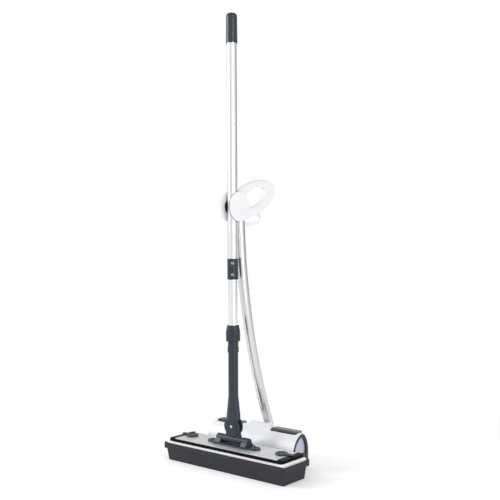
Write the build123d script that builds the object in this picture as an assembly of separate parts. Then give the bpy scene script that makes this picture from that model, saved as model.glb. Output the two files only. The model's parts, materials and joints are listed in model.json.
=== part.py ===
from build123d import *
import math
import os

# Floor mop parked in its tray, with a slim carpet sweeper clipped to the mop's pole.
# Millimetres. Origin: centre of the tray's underside. +X along the tray, +Y to the rear, +Z up.

# Fits shared by every piece
RUN_FIT = 0.05          # radial play of a pin or spindle that turns in its bore
SLIDE_FIT = 0.3         # radial play of a tube that telescopes
SEAT_FIT = 0.15         # play of a piece that is pushed into a socket once
SIDE_PLAY = 0.5         # play beside a moving piece

# Tray
TRAY_RIM_LENGTH = 444.0
TRAY_RIM_DEPTH = 114.5
LIP_OVERHANG_END = 8.0  # from the lip in to the wall below it, at each end
LIP_OVERHANG_SIDE = 2.75
TRAY_DRAFT_END = 2.0    # how far the wall leans in from the lip to the foot
TRAY_DRAFT_SIDE = 7.0
TRAY_HEIGHT = 51.4
TRAY_LIP = 16.0         # height of the wider band at the top
TRAY_WALL = 2.6
TRAY_FLOOR = 3.0
TRAY_CORNER = 5.0
TRAY_FOOT_ROUND = 3.0

# Mop head
PAD_PLAY = 0.5          # room between the pad and the tray's lip
PAD_THICKNESS = 19.0
PAD_CORNER = 4.0
FRAME_INSET_END = 10.9  # from the pad's edge in to the frame
FRAME_INSET_SIDE = 4.15
FRAME_THICKNESS = 7.0
FRAME_CORNER = 8.0
PLATE_INSET_END = 18.0  # from the frame's edge in to the steel plate
PLATE_INSET_SIDE = 4.0
PLATE_THICKNESS = 1.5
PLATE_CORNER = 5.0
CAP_HEIGHT = 3.5
CAP_STEPS = 4
CAP_LAND = 4.0          # flat strip at the top of the end cap
CAP_GAP = 1.5           # between the steel plate and the end cap
CAP_TOE = 1.5           # height left at the outer end of the end cap

# Pad locks
KNOB_INSET = 25.0       # from the end of the steel plate in to the knob's axis
KNOB_Y = 6.0
KNOB_RADIUS = 17.0
KNOB_DISH_RADIUS = 10.5
KNOB_DISH_DEPTH = 2.8
KNOB_TAB_REACH = 40.0
KNOB_TAB_WIDTH = 14.0
KNOB_TAB_THICKNESS = 2.5
STUD_RADIUS = 4.0
STUD_HEAD_RADIUS = 7.5
STUD_HEAD_THICKNESS = 2.0

# Universal joint
FLANGE_LENGTH = 186.0
FLANGE_LOBE_WIDTH = 28.0
FLANGE_BODY_LENGTH = 130.0
FLANGE_BODY_DEPTH = 44.0
FLANGE_THICKNESS = 5.5
FLANGE_CORNER = 8.0
SCREW_RADIUS = 2.2
SCREW_HEAD_RADIUS = 4.2
SCREW_HEAD_HEIGHT = 2.4
TILT_Z = 82.0
TILT_PIN_RADIUS = 4.0
KNUCKLE_RADIUS = 10.5
KNUCKLE_INNER = 38.0
KNUCKLE_OUTER = 57.0
YOKE_BARREL_RADIUS = 10.0
YOKE_FOOT_WIDTH = 52.0
YOKE_HEAD_RADIUS = 18.0
TONGUE_THICKNESS = 10.0
SWING_Z = 119.5
SWING_PIN_RADIUS = 4.0
FORK_RADIUS = 27.0
FORK_THICKNESS = 18.0
PIVOT_CAP_RADIUS = 19.0
PIVOT_CAP_THICKNESS = 2.0
PIVOT_CAP_GROOVE = 0.9
PIVOT_RING_OUTER = 13.7
PIVOT_RING_INNER = 11.4

# Arm
ARM_RADIUS = 14.0
ARM_WAIST_Z = 206.0
ARM_FLARE_Z = 152.0
ARM_FLARE_HALF = 22.5
ARM_FLARE_DEPTH = 14.4
ARM_BORE_FLOOR_Z = 168.0
BEAD_RADIUS = 16.0
BEAD_LOW_Z = 327.0
BEAD_HIGH_Z = 342.0
BEAD_CHAMFER = 1.0
NECK_RADIUS = 14.9
NECK_TOP_Z = 358.0
STUB_TOP_Z = 386.0
COLLET_HEIGHT = 11.0
COLLET_SLOTS = 6
COLLET_SLOT_WIDTH = 1.6
COLLET_TAPER = 1.0

# Twist collar
COLLAR_RADIUS = 20.0
COLLAR_TOP_RADIUS = 16.5
COLLAR_TOP_Z = 403.0
COLLAR_SHOULDER_Z = 386.0
COLLAR_FLUTES = 18
COLLAR_FLUTE_RADIUS = 1.7
COLLAR_FLUTE_RUNOUT = 4.0   # how far the flutes run up the cone
COLLAR_EDGE = 1.5

# Pole
LOWER_TUBE_RADIUS = 12.25
UPPER_TUBE_RADIUS = 14.0
TUBE_WALL = 1.2
LOWER_TUBE_FOOT_Z = 282.0
PLUG_HEIGHT = 16.0
PLUG_LIP = 4.0
SLEEVE_RADIUS = 15.5
SLEEVE_LOW_Z = 531.0
SLEEVE_HIGH_Z = 590.0
SLEEVE_CHAMFER = 2.4
RIVET_Z = (545.0, 577.0)
RIVET_FACING = 40.0     # degrees from -Y towards +X
RIVET_RADIUS = 2.0
RIVET_HEAD_RADIUS = 4.2
RIVET_HEAD_HEIGHT = 1.6
GRIP_TOP_Z = 1280.0
GRIP_LENGTH = 85.0
GRIP_LOW_RADIUS = 16.3
GRIP_TOP_RADIUS = 15.4
GRIP_CROWN = 9.0
GRIP_ROOF = 10.0        # solid height above the tube's end

# Sweeper clip and loop handle
CLIP_Y = 8.0
CLIP_Z = 736.0
DISC_RADIUS = 42.0
DISC_THICKNESS = 5.5
DISC_ROUND = 3.0
CLIP_PAD_RADIUS = 22.0
CLIP_PAD_THICKNESS = 2.0
CLIP_GRIP_GAP = 0.5     # between the pole and each lining
HUB_RADIUS = 36.0
HUB_GAP = 0.8           # between the pole and the hub behind it
LOOP_Y = 83.4
LOOP_Z = 761.5
LOOP_HALF_LENGTH = 107.0
LOOP_HALF_HEIGHT = 48.5
LOOP_TILT = 20.8
HOLE_Y = 93.0
HOLE_Z = 768.0
HOLE_HALF_LENGTH = 51.0
HOLE_HALF_HEIGHT = 24.0
HOLE_TILT = 26.9
LOOP_THICKNESS = 17.0
LOOP_ROUND = 6.0
HOOK_THICKNESS = 10.0
HOOK_WIDTH = 10.0
HOOK_ROOT = (112.0, 730.0)
HOOK_BEND = (113.0, 693.0)
HOOK_TIP = (60.0, 688.0)
HOOK_BEND_RADIUS = 14.0
DISC_SCREW_RADIUS = 3.5
DISC_SCREW_DEPTH = 1.2
DISC_SCREW_SPREAD = 22.0

# Curved stick
STICK_RADIUS = 14.0
STICK_WALL = 1.4
STICK_TOP_Y = 32.0
STICK_TOP_Z = 697.0
STICK_TOP_LEAN = 1.5    # degrees off vertical where the stick leaves the hub
STICK_SOCKET_WALL = 2.2
STICK_PLUNGE = 24.0     # length of stick inside the hub
STICK_EXIT_LEAN = 2.0   # degrees of the arc that the hub's socket runs on below the hub

# Sweeper head
HEAD_Y = 102.0
HOOD_FRONT_Y = 63.7
HOOD_REAR_Y = 140.3
HOOD_CREST_Y = 110.0
HOOD_TOP_Z = 102.3
HOOD_SPRING_Z = 50.0    # where the arch starts
HOOD_FOOT_Z = 12.0
HOOD_WALL = 2.3
HOOD_HALF_LENGTH = 158.0
FRONT_WALL_PULL = 0.28  # shares of the arch's rise and depth that shape its curves
FRONT_CREST_PULL = 0.59
REAR_CREST_PULL = 0.48
REAR_WALL_PULL = 0.53
END_THICKNESS = 8.0
END_FOOT_Z = 6.0
WINDOW_BAND = 9.5
WINDOW_SILL_Z = 44.0
WINDOW_THICKNESS = 2.5
WINDOW_INSET = 5.5
SADDLE_HALF_WIDTH = 25.0
SADDLE_FOOT_HALF = 36.0
SADDLE_TOP_Z = 108.5
SADDLE_ROOT_Z = 58.0    # inside the hood, where the saddle starts
SADDLE_FRONT_Y = 96.0
SADDLE_FRONT_DIP = 6.0  # below the hood's crest, where the front slope starts
SADDLE_CREST_Y = 118.0  # where the front slope reaches the top
SADDLE_REAR_INSET = 2.0
SADDLE_ROUND = 10.0
NECK_PIN_Y = 160.0
NECK_PIN_Z = 101.0
NECK_PIN_RADIUS = 3.0
NECK_LUG_RADIUS = 7.0
NECK_LUG_HALF = 5.0
NECK_LUG_DROP = 8.0     # from the pin's height down to where the lug leaves the saddle
ROOT_HALF_WIDTH = 13.5
ROOT_BARREL_RADIUS = 8.0
ROOT_PLUG = 22.0        # length of the plug inside the stick's foot
ROOT_NECK = 0.8         # between the barrel and the stick's end

# Brush, wheels and friction drive
BRUSH_Z = 20.0
BRUSH_CORE_RADIUS = 9.0
BRUSH_TIP_RADIUS = 19.4
BRUSH_END_PLAY = 2.0    # from the roller's end to the drive pulley
SPINDLE_RADIUS = 3.0
SPINDLE_SEAT = 6.0      # depth of the spindle's seat in the end frame
TUFT_SIZE = 3.6
TUFT_ROWS = 4
TUFTS_PER_ROW = 20
TUFT_TWIST = 150.0      # degrees that a row winds along the roller
TUFT_ROOT = 1.0
WHEEL_RADIUS = 10.0
WHEEL_HUB_RADIUS = 7.6
WHEEL_SPREAD = 21.0     # from the brush axis to each wheel axis, along Y
WHEEL_WIDTH = 10.0
WHEEL_PLAY = 3.0        # from the wheel to the end frame
AXLE_RADIUS = 2.5
AXLE_HEAD_RADIUS = 4.0
AXLE_HEAD = 1.5
DRIVE_GAP = 0.3

# Emptying bars and dust flaps
BAR_NEAR_X = 54.0
BAR_END_PLAY = 2.0      # from the bar's outer end to the end frame
BAR_Y = 111.0
BAR_WIDTH = 34.0
BAR_CORNER = 8.0
BAR_PROUD = 1.7
BAR_DEPTH = 4.0
BAR_PLAY = 0.5
LEG_INSET = 48.0        # from the bar's outer end in to its leg
LEG_WIDTH = 10.0
LEG_THICKNESS = 3.0
LEG_KNEE_Z = 66.0
FLAP_PIN_RADIUS = 1.5
FLAP_PIN_REACH = 30.5   # from the brush axis to each flap's hinge, along Y
FLAP_PIN_Z = 14.0
FLAP_BARREL_RADIUS = 2.4
FLAP_REACH = 10.0
FLAP_THICKNESS = 1.8
FLAP_END_PLAY = 4.5     # from the flap's lug to the wheel
LUG_THICKNESS = 4.0
LUG_PLAY = 0.5
LEG_PRESS = 6.0         # from the flap's hinge to the leg that presses it

# Sizes, heights and radii that follow from the sizes above
TRAY_SHOULDER_LENGTH = TRAY_RIM_LENGTH - 2 * LIP_OVERHANG_END
TRAY_SHOULDER_DEPTH = TRAY_RIM_DEPTH - 2 * LIP_OVERHANG_SIDE
TRAY_FOOT_LENGTH = TRAY_SHOULDER_LENGTH - 2 * TRAY_DRAFT_END
TRAY_FOOT_DEPTH = TRAY_SHOULDER_DEPTH - 2 * TRAY_DRAFT_SIDE
PAD_LENGTH = TRAY_RIM_LENGTH - 2 * TRAY_WALL - 2 * PAD_PLAY
PAD_DEPTH = TRAY_RIM_DEPTH - 2 * TRAY_WALL - 2 * PAD_PLAY
FRAME_LENGTH = PAD_LENGTH - 2 * FRAME_INSET_END
FRAME_DEPTH = PAD_DEPTH - 2 * FRAME_INSET_SIDE
PLATE_LENGTH = FRAME_LENGTH - 2 * PLATE_INSET_END
PLATE_DEPTH = FRAME_DEPTH - 2 * PLATE_INSET_SIDE
KNOB_X = PLATE_LENGTH / 2 - KNOB_INSET
LIP_Z = TRAY_HEIGHT - TRAY_LIP
LEDGE_Z = LIP_Z + TRAY_WALL
PAD_TOP_Z = LEDGE_Z + PAD_THICKNESS
FRAME_TOP_Z = PAD_TOP_Z + FRAME_THICKNESS
PLATE_TOP_Z = FRAME_TOP_Z + PLATE_THICKNESS
FLANGE_TOP_Z = PLATE_TOP_Z + FLANGE_THICKNESS
TAB_LOW_Z = FRAME_TOP_Z + CAP_HEIGHT + SIDE_PLAY
KNOB_TOP_Z = TAB_LOW_Z + KNOB_TAB_THICKNESS
ARM_BORE_RADIUS = LOWER_TUBE_RADIUS + SLIDE_FIT
LINING_X = UPPER_TUBE_RADIUS + CLIP_GRIP_GAP
DISC_INNER_X = LINING_X + CLIP_PAD_THICKNESS
HUB_FRONT_Y = UPPER_TUBE_RADIUS + HUB_GAP
END_INNER_X = HOOD_HALF_LENGTH - END_THICKNESS
BAR_TOP_Z = HOOD_TOP_Z + BAR_PROUD
BAR_FAR_X = END_INNER_X - BAR_END_PLAY
LEG_X = BAR_FAR_X - LEG_INSET
WHEEL_INNER = END_INNER_X - WHEEL_PLAY - WHEEL_WIDTH
BRUSH_HALF_LENGTH = WHEEL_INNER - BRUSH_END_PLAY
FLAP_HALF_LENGTH = WHEEL_INNER - FLAP_END_PLAY - LUG_THICKNESS - LUG_PLAY
GRIP_LOW_Z = GRIP_TOP_Z - GRIP_LENGTH
WHEEL_Z = WHEEL_RADIUS
PULLEY_RADIUS = math.hypot(WHEEL_SPREAD, BRUSH_Z - WHEEL_Z) - WHEEL_RADIUS - DRIVE_GAP

# The stick is one arc that leaves the hub at its top lean and runs through the neck pin
TOP_COS = math.cos(math.radians(STICK_TOP_LEAN))
TOP_SIN = math.sin(math.radians(STICK_TOP_LEAN))
CHORD_Y = NECK_PIN_Y - STICK_TOP_Y
CHORD_Z = NECK_PIN_Z - STICK_TOP_Z
CHORD_SIDE = CHORD_Y * TOP_COS + CHORD_Z * TOP_SIN
CHORD_ALONG = CHORD_Y * TOP_SIN - CHORD_Z * TOP_COS
STICK_ARC = (CHORD_Y ** 2 + CHORD_Z ** 2) / (2 * CHORD_SIDE)
STICK_CENTRE_Y = STICK_TOP_Y + STICK_ARC * TOP_COS
STICK_CENTRE_Z = STICK_TOP_Z + STICK_ARC * TOP_SIN
PIN_LEAN = STICK_TOP_LEAN + 2 * math.degrees(math.atan2(CHORD_SIDE, CHORD_ALONG))
STICK_FOOT_LEAN = PIN_LEAN - math.degrees((ROOT_BARREL_RADIUS + ROOT_NECK) / STICK_ARC)

parts = {}


def slab(length, depth, corner, low, high, x=0.0, y=0.0):
    """Upright plate with rounded corners."""
    outline = Pos(x, y, low) * RectangleRounded(length, depth, corner)
    return extrude(outline, high - low)


def drum(radius, low, high, x=0.0, y=0.0):
    """Cylinder along Z from one height to another."""
    return Pos(x, y, low) * extrude(Circle(radius), high - low)


def rod_x(radius, low, high, y, z):
    """Cylinder along X from one X to another."""
    return extrude(Plane((low, y, z), x_dir=(0, 1, 0), z_dir=(1, 0, 0)) * Circle(radius), high - low)


def rod_y(radius, low, high, x, z):
    """Cylinder along Y from one Y to another."""
    return extrude(Plane((x, low, z), x_dir=(1, 0, 0), z_dir=(0, 1, 0)) * Circle(radius), high - low)


def across(profile, low, high):
    """A profile drawn in Y and Z, extruded along X."""
    return extrude(Plane((low, 0, 0), x_dir=(0, 1, 0), z_dir=(1, 0, 0)) * profile, high - low)


def turned(points):
    """Solid of revolution about the pole, from radius and height pairs."""
    outline = make_face(Polyline(*[(radius, height) for radius, height in points], close=True))
    return revolve(Plane.XZ * outline, Axis.Z)


def tube(radius, wall, low, high):
    """Round tube on the pole's axis."""
    return drum(radius, low, high) - drum(radius - wall, low, high)


def tray():
    """Tub with a drafted wall, a wider lip and an inner ledge for the pad."""
    foot = RectangleRounded(TRAY_FOOT_LENGTH, TRAY_FOOT_DEPTH, TRAY_CORNER)
    shoulder = Pos(0, 0, LIP_Z) * RectangleRounded(TRAY_SHOULDER_LENGTH, TRAY_SHOULDER_DEPTH, TRAY_CORNER)
    body = loft([foot, shoulder])
    body = fillet(body.edges().group_by(Axis.Z)[0], TRAY_FOOT_ROUND)
    body += slab(TRAY_RIM_LENGTH, TRAY_RIM_DEPTH, TRAY_CORNER, LIP_Z, TRAY_HEIGHT)
    inner_corner = TRAY_CORNER - TRAY_WALL
    inner_foot = Pos(0, 0, TRAY_FLOOR) * RectangleRounded(
        TRAY_FOOT_LENGTH - 2 * TRAY_WALL, TRAY_FOOT_DEPTH - 2 * TRAY_WALL, inner_corner)
    inner_top = Pos(0, 0, LEDGE_Z) * RectangleRounded(
        TRAY_SHOULDER_LENGTH - 2 * TRAY_WALL, TRAY_SHOULDER_DEPTH - 2 * TRAY_WALL, inner_corner)
    body -= loft([inner_foot, inner_top])
    body -= slab(TRAY_RIM_LENGTH - 2 * TRAY_WALL, TRAY_RIM_DEPTH - 2 * TRAY_WALL, inner_corner,
                 LEDGE_Z, TRAY_HEIGHT)
    return body


def mop_pad():
    """Soft pad that lies on the tray's ledge."""
    pad = slab(PAD_LENGTH, PAD_DEPTH, PAD_CORNER, LEDGE_Z, PAD_TOP_Z)
    return fillet(pad.edges().group_by(Axis.Z)[-1], PAD_THICKNESS / 8)


def base_frame():
    """Moulded frame under the steel plate."""
    frame = slab(FRAME_LENGTH, FRAME_DEPTH, FRAME_CORNER, PAD_TOP_Z, FRAME_TOP_Z)
    return chamfer(frame.edges().group_by(Axis.Z)[-1], FRAME_THICKNESS / 5)


def top_plate():
    """Brushed steel sheet on the frame."""
    return slab(PLATE_LENGTH, PLATE_DEPTH, PLATE_CORNER, FRAME_TOP_Z, PLATE_TOP_Z)


def end_cap(side):
    """Stepped foot cap at one end of the frame, falling outwards in ribs."""
    near = PLATE_LENGTH / 2 + CAP_GAP
    far = FRAME_LENGTH / 2 - FRAME_THICKNESS / 5
    tread = (far - near - CAP_LAND) / CAP_STEPS
    drop = (CAP_HEIGHT - CAP_TOE) / CAP_STEPS
    top = FRAME_TOP_Z + CAP_HEIGHT
    outline = [(near, FRAME_TOP_Z), (near, top), (near + CAP_LAND, top)]
    for step in range(CAP_STEPS):
        edge = near + CAP_LAND + step * tread
        outline.append((edge + tread / 3, top - (step + 1) * drop))
        outline.append((edge + tread, top - (step + 1) * drop))
    outline.append((far, FRAME_TOP_Z))
    profile = make_face(Polyline(*[(side * x, z) for x, z in outline], close=True))
    half = PLATE_DEPTH / 2
    return extrude(Plane.XZ * profile, half, both=True)


def lock_knob(side):
    """Turning pad lock: dished disc with a tab that points to the end of the plate."""
    x = side * KNOB_X
    low = PLATE_TOP_Z
    knob = drum(KNOB_RADIUS, low, KNOB_TOP_Z, x, KNOB_Y)
    tab_end = KNOB_TAB_REACH - KNOB_TAB_WIDTH / 2
    tab = slab(tab_end, KNOB_TAB_WIDTH, KNOB_TAB_WIDTH / 4, TAB_LOW_Z, KNOB_TOP_Z,
               x + side * tab_end / 2, KNOB_Y)
    tab += drum(KNOB_TAB_WIDTH / 2, TAB_LOW_Z, KNOB_TOP_Z, x + side * tab_end, KNOB_Y)
    knob += tab
    knob -= drum(KNOB_DISH_RADIUS, KNOB_TOP_Z - KNOB_DISH_DEPTH, KNOB_TOP_Z, x, KNOB_Y)
    return knob - drum(STUD_RADIUS + RUN_FIT, low, KNOB_TOP_Z, x, KNOB_Y)


def knob_studs():
    """Shoulder studs that the pad locks turn on."""
    head_low = KNOB_TOP_Z - KNOB_DISH_DEPTH + RUN_FIT
    studs = []
    for side in (-1, 1):
        stud = drum(STUD_RADIUS, PLATE_TOP_Z, head_low, side * KNOB_X, KNOB_Y)
        stud += drum(STUD_HEAD_RADIUS, head_low, head_low + STUD_HEAD_THICKNESS, side * KNOB_X, KNOB_Y)
        studs.append(stud)
    return Compound(studs)


def screw_places():
    """Centres of the two screws in the flange's lobes."""
    reach = FLANGE_LENGTH / 2 - FLANGE_LOBE_WIDTH / 2
    return [(-reach, 0.0), (reach, 0.0)]


def joint_base():
    """Flange screwed to the plate, with two knuckles for the tilt pin."""
    outline = RectangleRounded(FLANGE_BODY_LENGTH, FLANGE_BODY_DEPTH, FLANGE_CORNER)
    outline += SlotOverall(FLANGE_LENGTH, FLANGE_LOBE_WIDTH)
    base = extrude(Pos(0, 0, PLATE_TOP_Z) * outline, FLANGE_THICKNESS)
    foot = FLANGE_BODY_DEPTH / 2 - FLANGE_CORNER / 2
    cheek = make_face(Polyline((-foot, FLANGE_TOP_Z), (-KNUCKLE_RADIUS, TILT_Z), (KNUCKLE_RADIUS, TILT_Z),
                               (foot, FLANGE_TOP_Z), close=True))
    cheek += Pos(0, TILT_Z) * Circle(KNUCKLE_RADIUS)
    for side in (-1, 1):
        low, high = sorted((side * KNUCKLE_INNER, side * KNUCKLE_OUTER))
        base += across(cheek, low, high)
    barrel_room = YOKE_BARREL_RADIUS + SIDE_PLAY
    base -= rod_x(barrel_room, -KNUCKLE_INNER, KNUCKLE_INNER, 0, TILT_Z)
    base -= rod_x(TILT_PIN_RADIUS, -KNUCKLE_OUTER, KNUCKLE_OUTER, 0, TILT_Z)
    for x, y in screw_places():
        base -= drum(SCREW_RADIUS, PLATE_TOP_Z, FLANGE_TOP_Z, x, y)
    return base


def base_screws():
    """Pan-head screws in the flange's lobes."""
    screws = []
    for x, y in screw_places():
        screw = drum(SCREW_RADIUS, PLATE_TOP_Z, FLANGE_TOP_Z, x, y)
        head = drum(SCREW_HEAD_RADIUS, FLANGE_TOP_Z, FLANGE_TOP_Z + SCREW_HEAD_HEIGHT, x, y)
        screws.append(screw + fillet(head.edges().group_by(Axis.Z)[-1], SCREW_HEAD_HEIGHT / 2))
    return Compound(screws)


def tilt_pin():
    """Steel pin through both knuckles and the yoke."""
    return rod_x(TILT_PIN_RADIUS, -KNUCKLE_OUTER, KNUCKLE_OUTER, 0, TILT_Z)


def yoke():
    """Cross piece: barrel on the tilt pin and a tongue up to the swing pin."""
    half = KNUCKLE_INNER - SIDE_PLAY
    cross = rod_x(YOKE_BARREL_RADIUS, -half, half, 0, TILT_Z)
    foot = YOKE_FOOT_WIDTH / 2
    hip = TILT_Z + YOKE_BARREL_RADIUS
    tongue = make_face(Polyline(
        (-foot, TILT_Z), (-foot, hip), (-YOKE_HEAD_RADIUS, SWING_Z), (YOKE_HEAD_RADIUS, SWING_Z),
        (foot, hip), (foot, TILT_Z), close=True))
    tongue += Pos(0, SWING_Z) * Circle(YOKE_HEAD_RADIUS)
    cross += extrude(Plane.XZ * tongue, TONGUE_THICKNESS / 2, both=True)
    cross -= rod_x(TILT_PIN_RADIUS + RUN_FIT, -half, half, 0, TILT_Z)
    return cross - rod_y(SWING_PIN_RADIUS + RUN_FIT, -FORK_THICKNESS, FORK_THICKNESS, 0, SWING_Z)


def arm():
    """Lower shaft: fork round the tongue, flared waist, tube with a bead and a clamping stub."""
    waist = Pos(0, 0, ARM_WAIST_Z) * Circle(ARM_RADIUS)
    flare = Pos(0, 0, ARM_FLARE_Z) * Ellipse(ARM_FLARE_HALF, ARM_FLARE_DEPTH)
    fork = Pos(0, 0, SWING_Z) * Ellipse(FORK_RADIUS, FORK_THICKNESS / 2)
    shaft = loft([flare, waist]) + loft([fork, flare])
    shaft += rod_y(FORK_RADIUS, -FORK_THICKNESS / 2, FORK_THICKNESS / 2, 0, SWING_Z)
    shaft += drum(ARM_RADIUS, ARM_WAIST_Z, STUB_TOP_Z)
    bead = drum(BEAD_RADIUS, BEAD_LOW_Z, BEAD_HIGH_Z)
    shaft += chamfer(bead.edges(), BEAD_CHAMFER)
    shaft += drum(NECK_RADIUS, BEAD_HIGH_Z, NECK_TOP_Z)
    gap = TONGUE_THICKNESS + 2 * SLIDE_FIT
    crotch = YOKE_HEAD_RADIUS + 2 * SIDE_PLAY
    slot = Pos(0, 0, SWING_Z - FORK_RADIUS) * Box(
        3 * FORK_RADIUS, gap, FORK_RADIUS + crotch, align=(Align.CENTER, Align.CENTER, Align.MIN))
    shaft -= slot
    shaft -= drum(ARM_BORE_RADIUS, ARM_BORE_FLOOR_Z, STUB_TOP_Z)
    face = FORK_THICKNESS / 2
    for side in (-1, 1):
        low, high = sorted((side * face, side * 2 * face))
        shaft -= rod_y(PIVOT_CAP_RADIUS + SEAT_FIT, low, high, 0, SWING_Z)
    return shaft - rod_y(SWING_PIN_RADIUS, -FORK_THICKNESS, FORK_THICKNESS, 0, SWING_Z)


def swing_pin():
    """Steel pin across the fork; its ends show in the middle of the caps."""
    half = FORK_THICKNESS / 2 + PIVOT_CAP_THICKNESS
    return rod_y(SWING_PIN_RADIUS, -half, half, 0, SWING_Z)


def pivot_caps():
    """Round caps on both faces of the fork, with a ring groove."""
    face = FORK_THICKNESS / 2
    caps = []
    for side in (-1, 1):
        low, high = sorted((side * face, side * (face + PIVOT_CAP_THICKNESS)))
        cap = rod_y(PIVOT_CAP_RADIUS, low, high, 0, SWING_Z)
        rim = side * (face + PIVOT_CAP_THICKNESS)
        low_cut, high_cut = sorted((rim, rim - side * PIVOT_CAP_GROOVE))
        groove = rod_y(PIVOT_RING_OUTER, low_cut, high_cut, 0, SWING_Z)
        groove -= rod_y(PIVOT_RING_INNER, low_cut, high_cut, 0, SWING_Z)
        caps.append(cap - groove - rod_y(SWING_PIN_RADIUS, low, high, 0, SWING_Z))
    return Compound(caps)


def collet():
    """Split ring on the stub that the collar squeezes onto the tube."""
    low, high = STUB_TOP_Z, STUB_TOP_Z + COLLET_HEIGHT
    inner = LOWER_TUBE_RADIUS + 2 * RUN_FIT
    ring = turned([(inner, low), (ARM_RADIUS, low), (ARM_RADIUS - COLLET_TAPER, high), (inner, high)])
    cut_low = low + COLLET_HEIGHT / 4
    for index in range(COLLET_SLOTS):
        cutter = Pos(ARM_RADIUS, 0, cut_low) * Box(
            ARM_RADIUS, COLLET_SLOT_WIDTH, COLLET_HEIGHT, align=(Align.CENTER, Align.CENTER, Align.MIN))
        ring -= Rot(0, 0, index * 360 / COLLET_SLOTS) * cutter
    return ring


def twist_collar():
    """Fluted clamping nut round the collet."""
    inner = ARM_RADIUS + SLIDE_FIT
    mouth = LOWER_TUBE_RADIUS + SLIDE_FIT
    roof = STUB_TOP_Z + COLLET_HEIGHT + SIDE_PLAY
    nut = turned([(inner, NECK_TOP_Z), (COLLAR_RADIUS - COLLAR_EDGE, NECK_TOP_Z),
                  (COLLAR_RADIUS, NECK_TOP_Z + COLLAR_EDGE),
                  (COLLAR_RADIUS, COLLAR_SHOULDER_Z), (COLLAR_TOP_RADIUS, COLLAR_TOP_Z),
                  (mouth, COLLAR_TOP_Z), (mouth, roof), (inner, roof)])
    flute_top = COLLAR_SHOULDER_Z + COLLAR_FLUTE_RUNOUT
    for index in range(COLLAR_FLUTES):
        flute = drum(COLLAR_FLUTE_RADIUS, NECK_TOP_Z, flute_top, COLLAR_RADIUS + COLLAR_FLUTE_RADIUS / 3, 0)
        nut -= Rot(0, 0, index * 360 / COLLAR_FLUTES) * flute
    return nut


def rivet_hole(height, depth):
    """Radial cylinder at one rivet, from inside the tube to outside the sleeve."""
    turn = math.radians(RIVET_FACING)
    out = Vector(math.sin(turn), -math.cos(turn), 0)
    start = out * (SLEEVE_RADIUS - depth) + Vector(0, 0, height)
    return Plane(start, x_dir=(0, 0, 1), z_dir=out)


def lower_tube():
    """Thinner tube that telescopes into the arm."""
    wall = SLEEVE_RADIUS - LOWER_TUBE_RADIUS + TUBE_WALL
    pipe = tube(LOWER_TUBE_RADIUS, TUBE_WALL, LOWER_TUBE_FOOT_Z, RIVET_Z[1] - RIVET_HEAD_RADIUS)
    return pipe - extrude(rivet_hole(RIVET_Z[0], wall) * Circle(RIVET_RADIUS), wall)


def tube_plug():
    """Guide plug in the foot of the lower tube."""
    bore = LOWER_TUBE_RADIUS - TUBE_WALL
    plug = drum(ARM_BORE_RADIUS - 2 * RUN_FIT, LOWER_TUBE_FOOT_Z - PLUG_LIP, LOWER_TUBE_FOOT_Z)
    plug += drum(bore, LOWER_TUBE_FOOT_Z, LOWER_TUBE_FOOT_Z + PLUG_HEIGHT)
    return plug - drum(bore - 2 * TUBE_WALL, LOWER_TUBE_FOOT_Z, LOWER_TUBE_FOOT_Z + PLUG_HEIGHT)


def sleeve_step():
    """Height of the shoulder in the sleeve where the upper tube stops."""
    return (SLEEVE_LOW_Z + SLEEVE_HIGH_Z) / 2


def coupling_sleeve():
    """Sleeve that joins the two tubes, with a bevelled lower end."""
    sleeve = drum(SLEEVE_RADIUS, SLEEVE_LOW_Z, SLEEVE_HIGH_Z)
    sleeve = chamfer(sleeve.edges().group_by(Axis.Z)[0], SLEEVE_CHAMFER)
    sleeve = chamfer(sleeve.edges().group_by(Axis.Z)[-1], SLEEVE_CHAMFER / 4)
    sleeve -= drum(LOWER_TUBE_RADIUS, SLEEVE_LOW_Z, SLEEVE_HIGH_Z)
    sleeve -= drum(UPPER_TUBE_RADIUS, sleeve_step(), SLEEVE_HIGH_Z)
    for height in RIVET_Z:
        sleeve -= extrude(rivet_hole(height, SLEEVE_RADIUS / 2) * Circle(RIVET_RADIUS), SLEEVE_RADIUS)
    return sleeve


def sleeve_rivets():
    """Round-head rivets through the sleeve into the tubes."""
    bores = {RIVET_Z[0]: LOWER_TUBE_RADIUS, RIVET_Z[1]: UPPER_TUBE_RADIUS}
    rivets = []
    for height in RIVET_Z:
        depth = SLEEVE_RADIUS - bores[height] + TUBE_WALL
        rivet = extrude(rivet_hole(height, depth) * Circle(RIVET_RADIUS), depth)
        seat = rivet_hole(height, RIVET_HEAD_HEIGHT / 3)
        head = extrude(seat * Circle(RIVET_HEAD_RADIUS), RIVET_HEAD_HEIGHT)
        head -= drum(SLEEVE_RADIUS, SLEEVE_LOW_Z, SLEEVE_HIGH_Z)
        rivets.append(rivet + head)
    return Compound(rivets)


def upper_tube():
    """Main pole tube."""
    wall = SLEEVE_RADIUS - UPPER_TUBE_RADIUS + TUBE_WALL
    pipe = tube(UPPER_TUBE_RADIUS, TUBE_WALL, sleeve_step(), GRIP_TOP_Z - GRIP_ROOF)
    return pipe - extrude(rivet_hole(RIVET_Z[1], wall) * Circle(RIVET_RADIUS), wall)


def top_grip():
    """Cap grip on the top of the pole."""
    grip = turned([(0, GRIP_LOW_Z), (GRIP_LOW_RADIUS, GRIP_LOW_Z),
                   (GRIP_TOP_RADIUS, GRIP_TOP_Z), (0, GRIP_TOP_Z)])
    grip = fillet(grip.edges().group_by(Axis.Z)[-1], GRIP_CROWN)
    return grip - drum(UPPER_TUBE_RADIUS, GRIP_LOW_Z, GRIP_TOP_Z - GRIP_ROOF)


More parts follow.
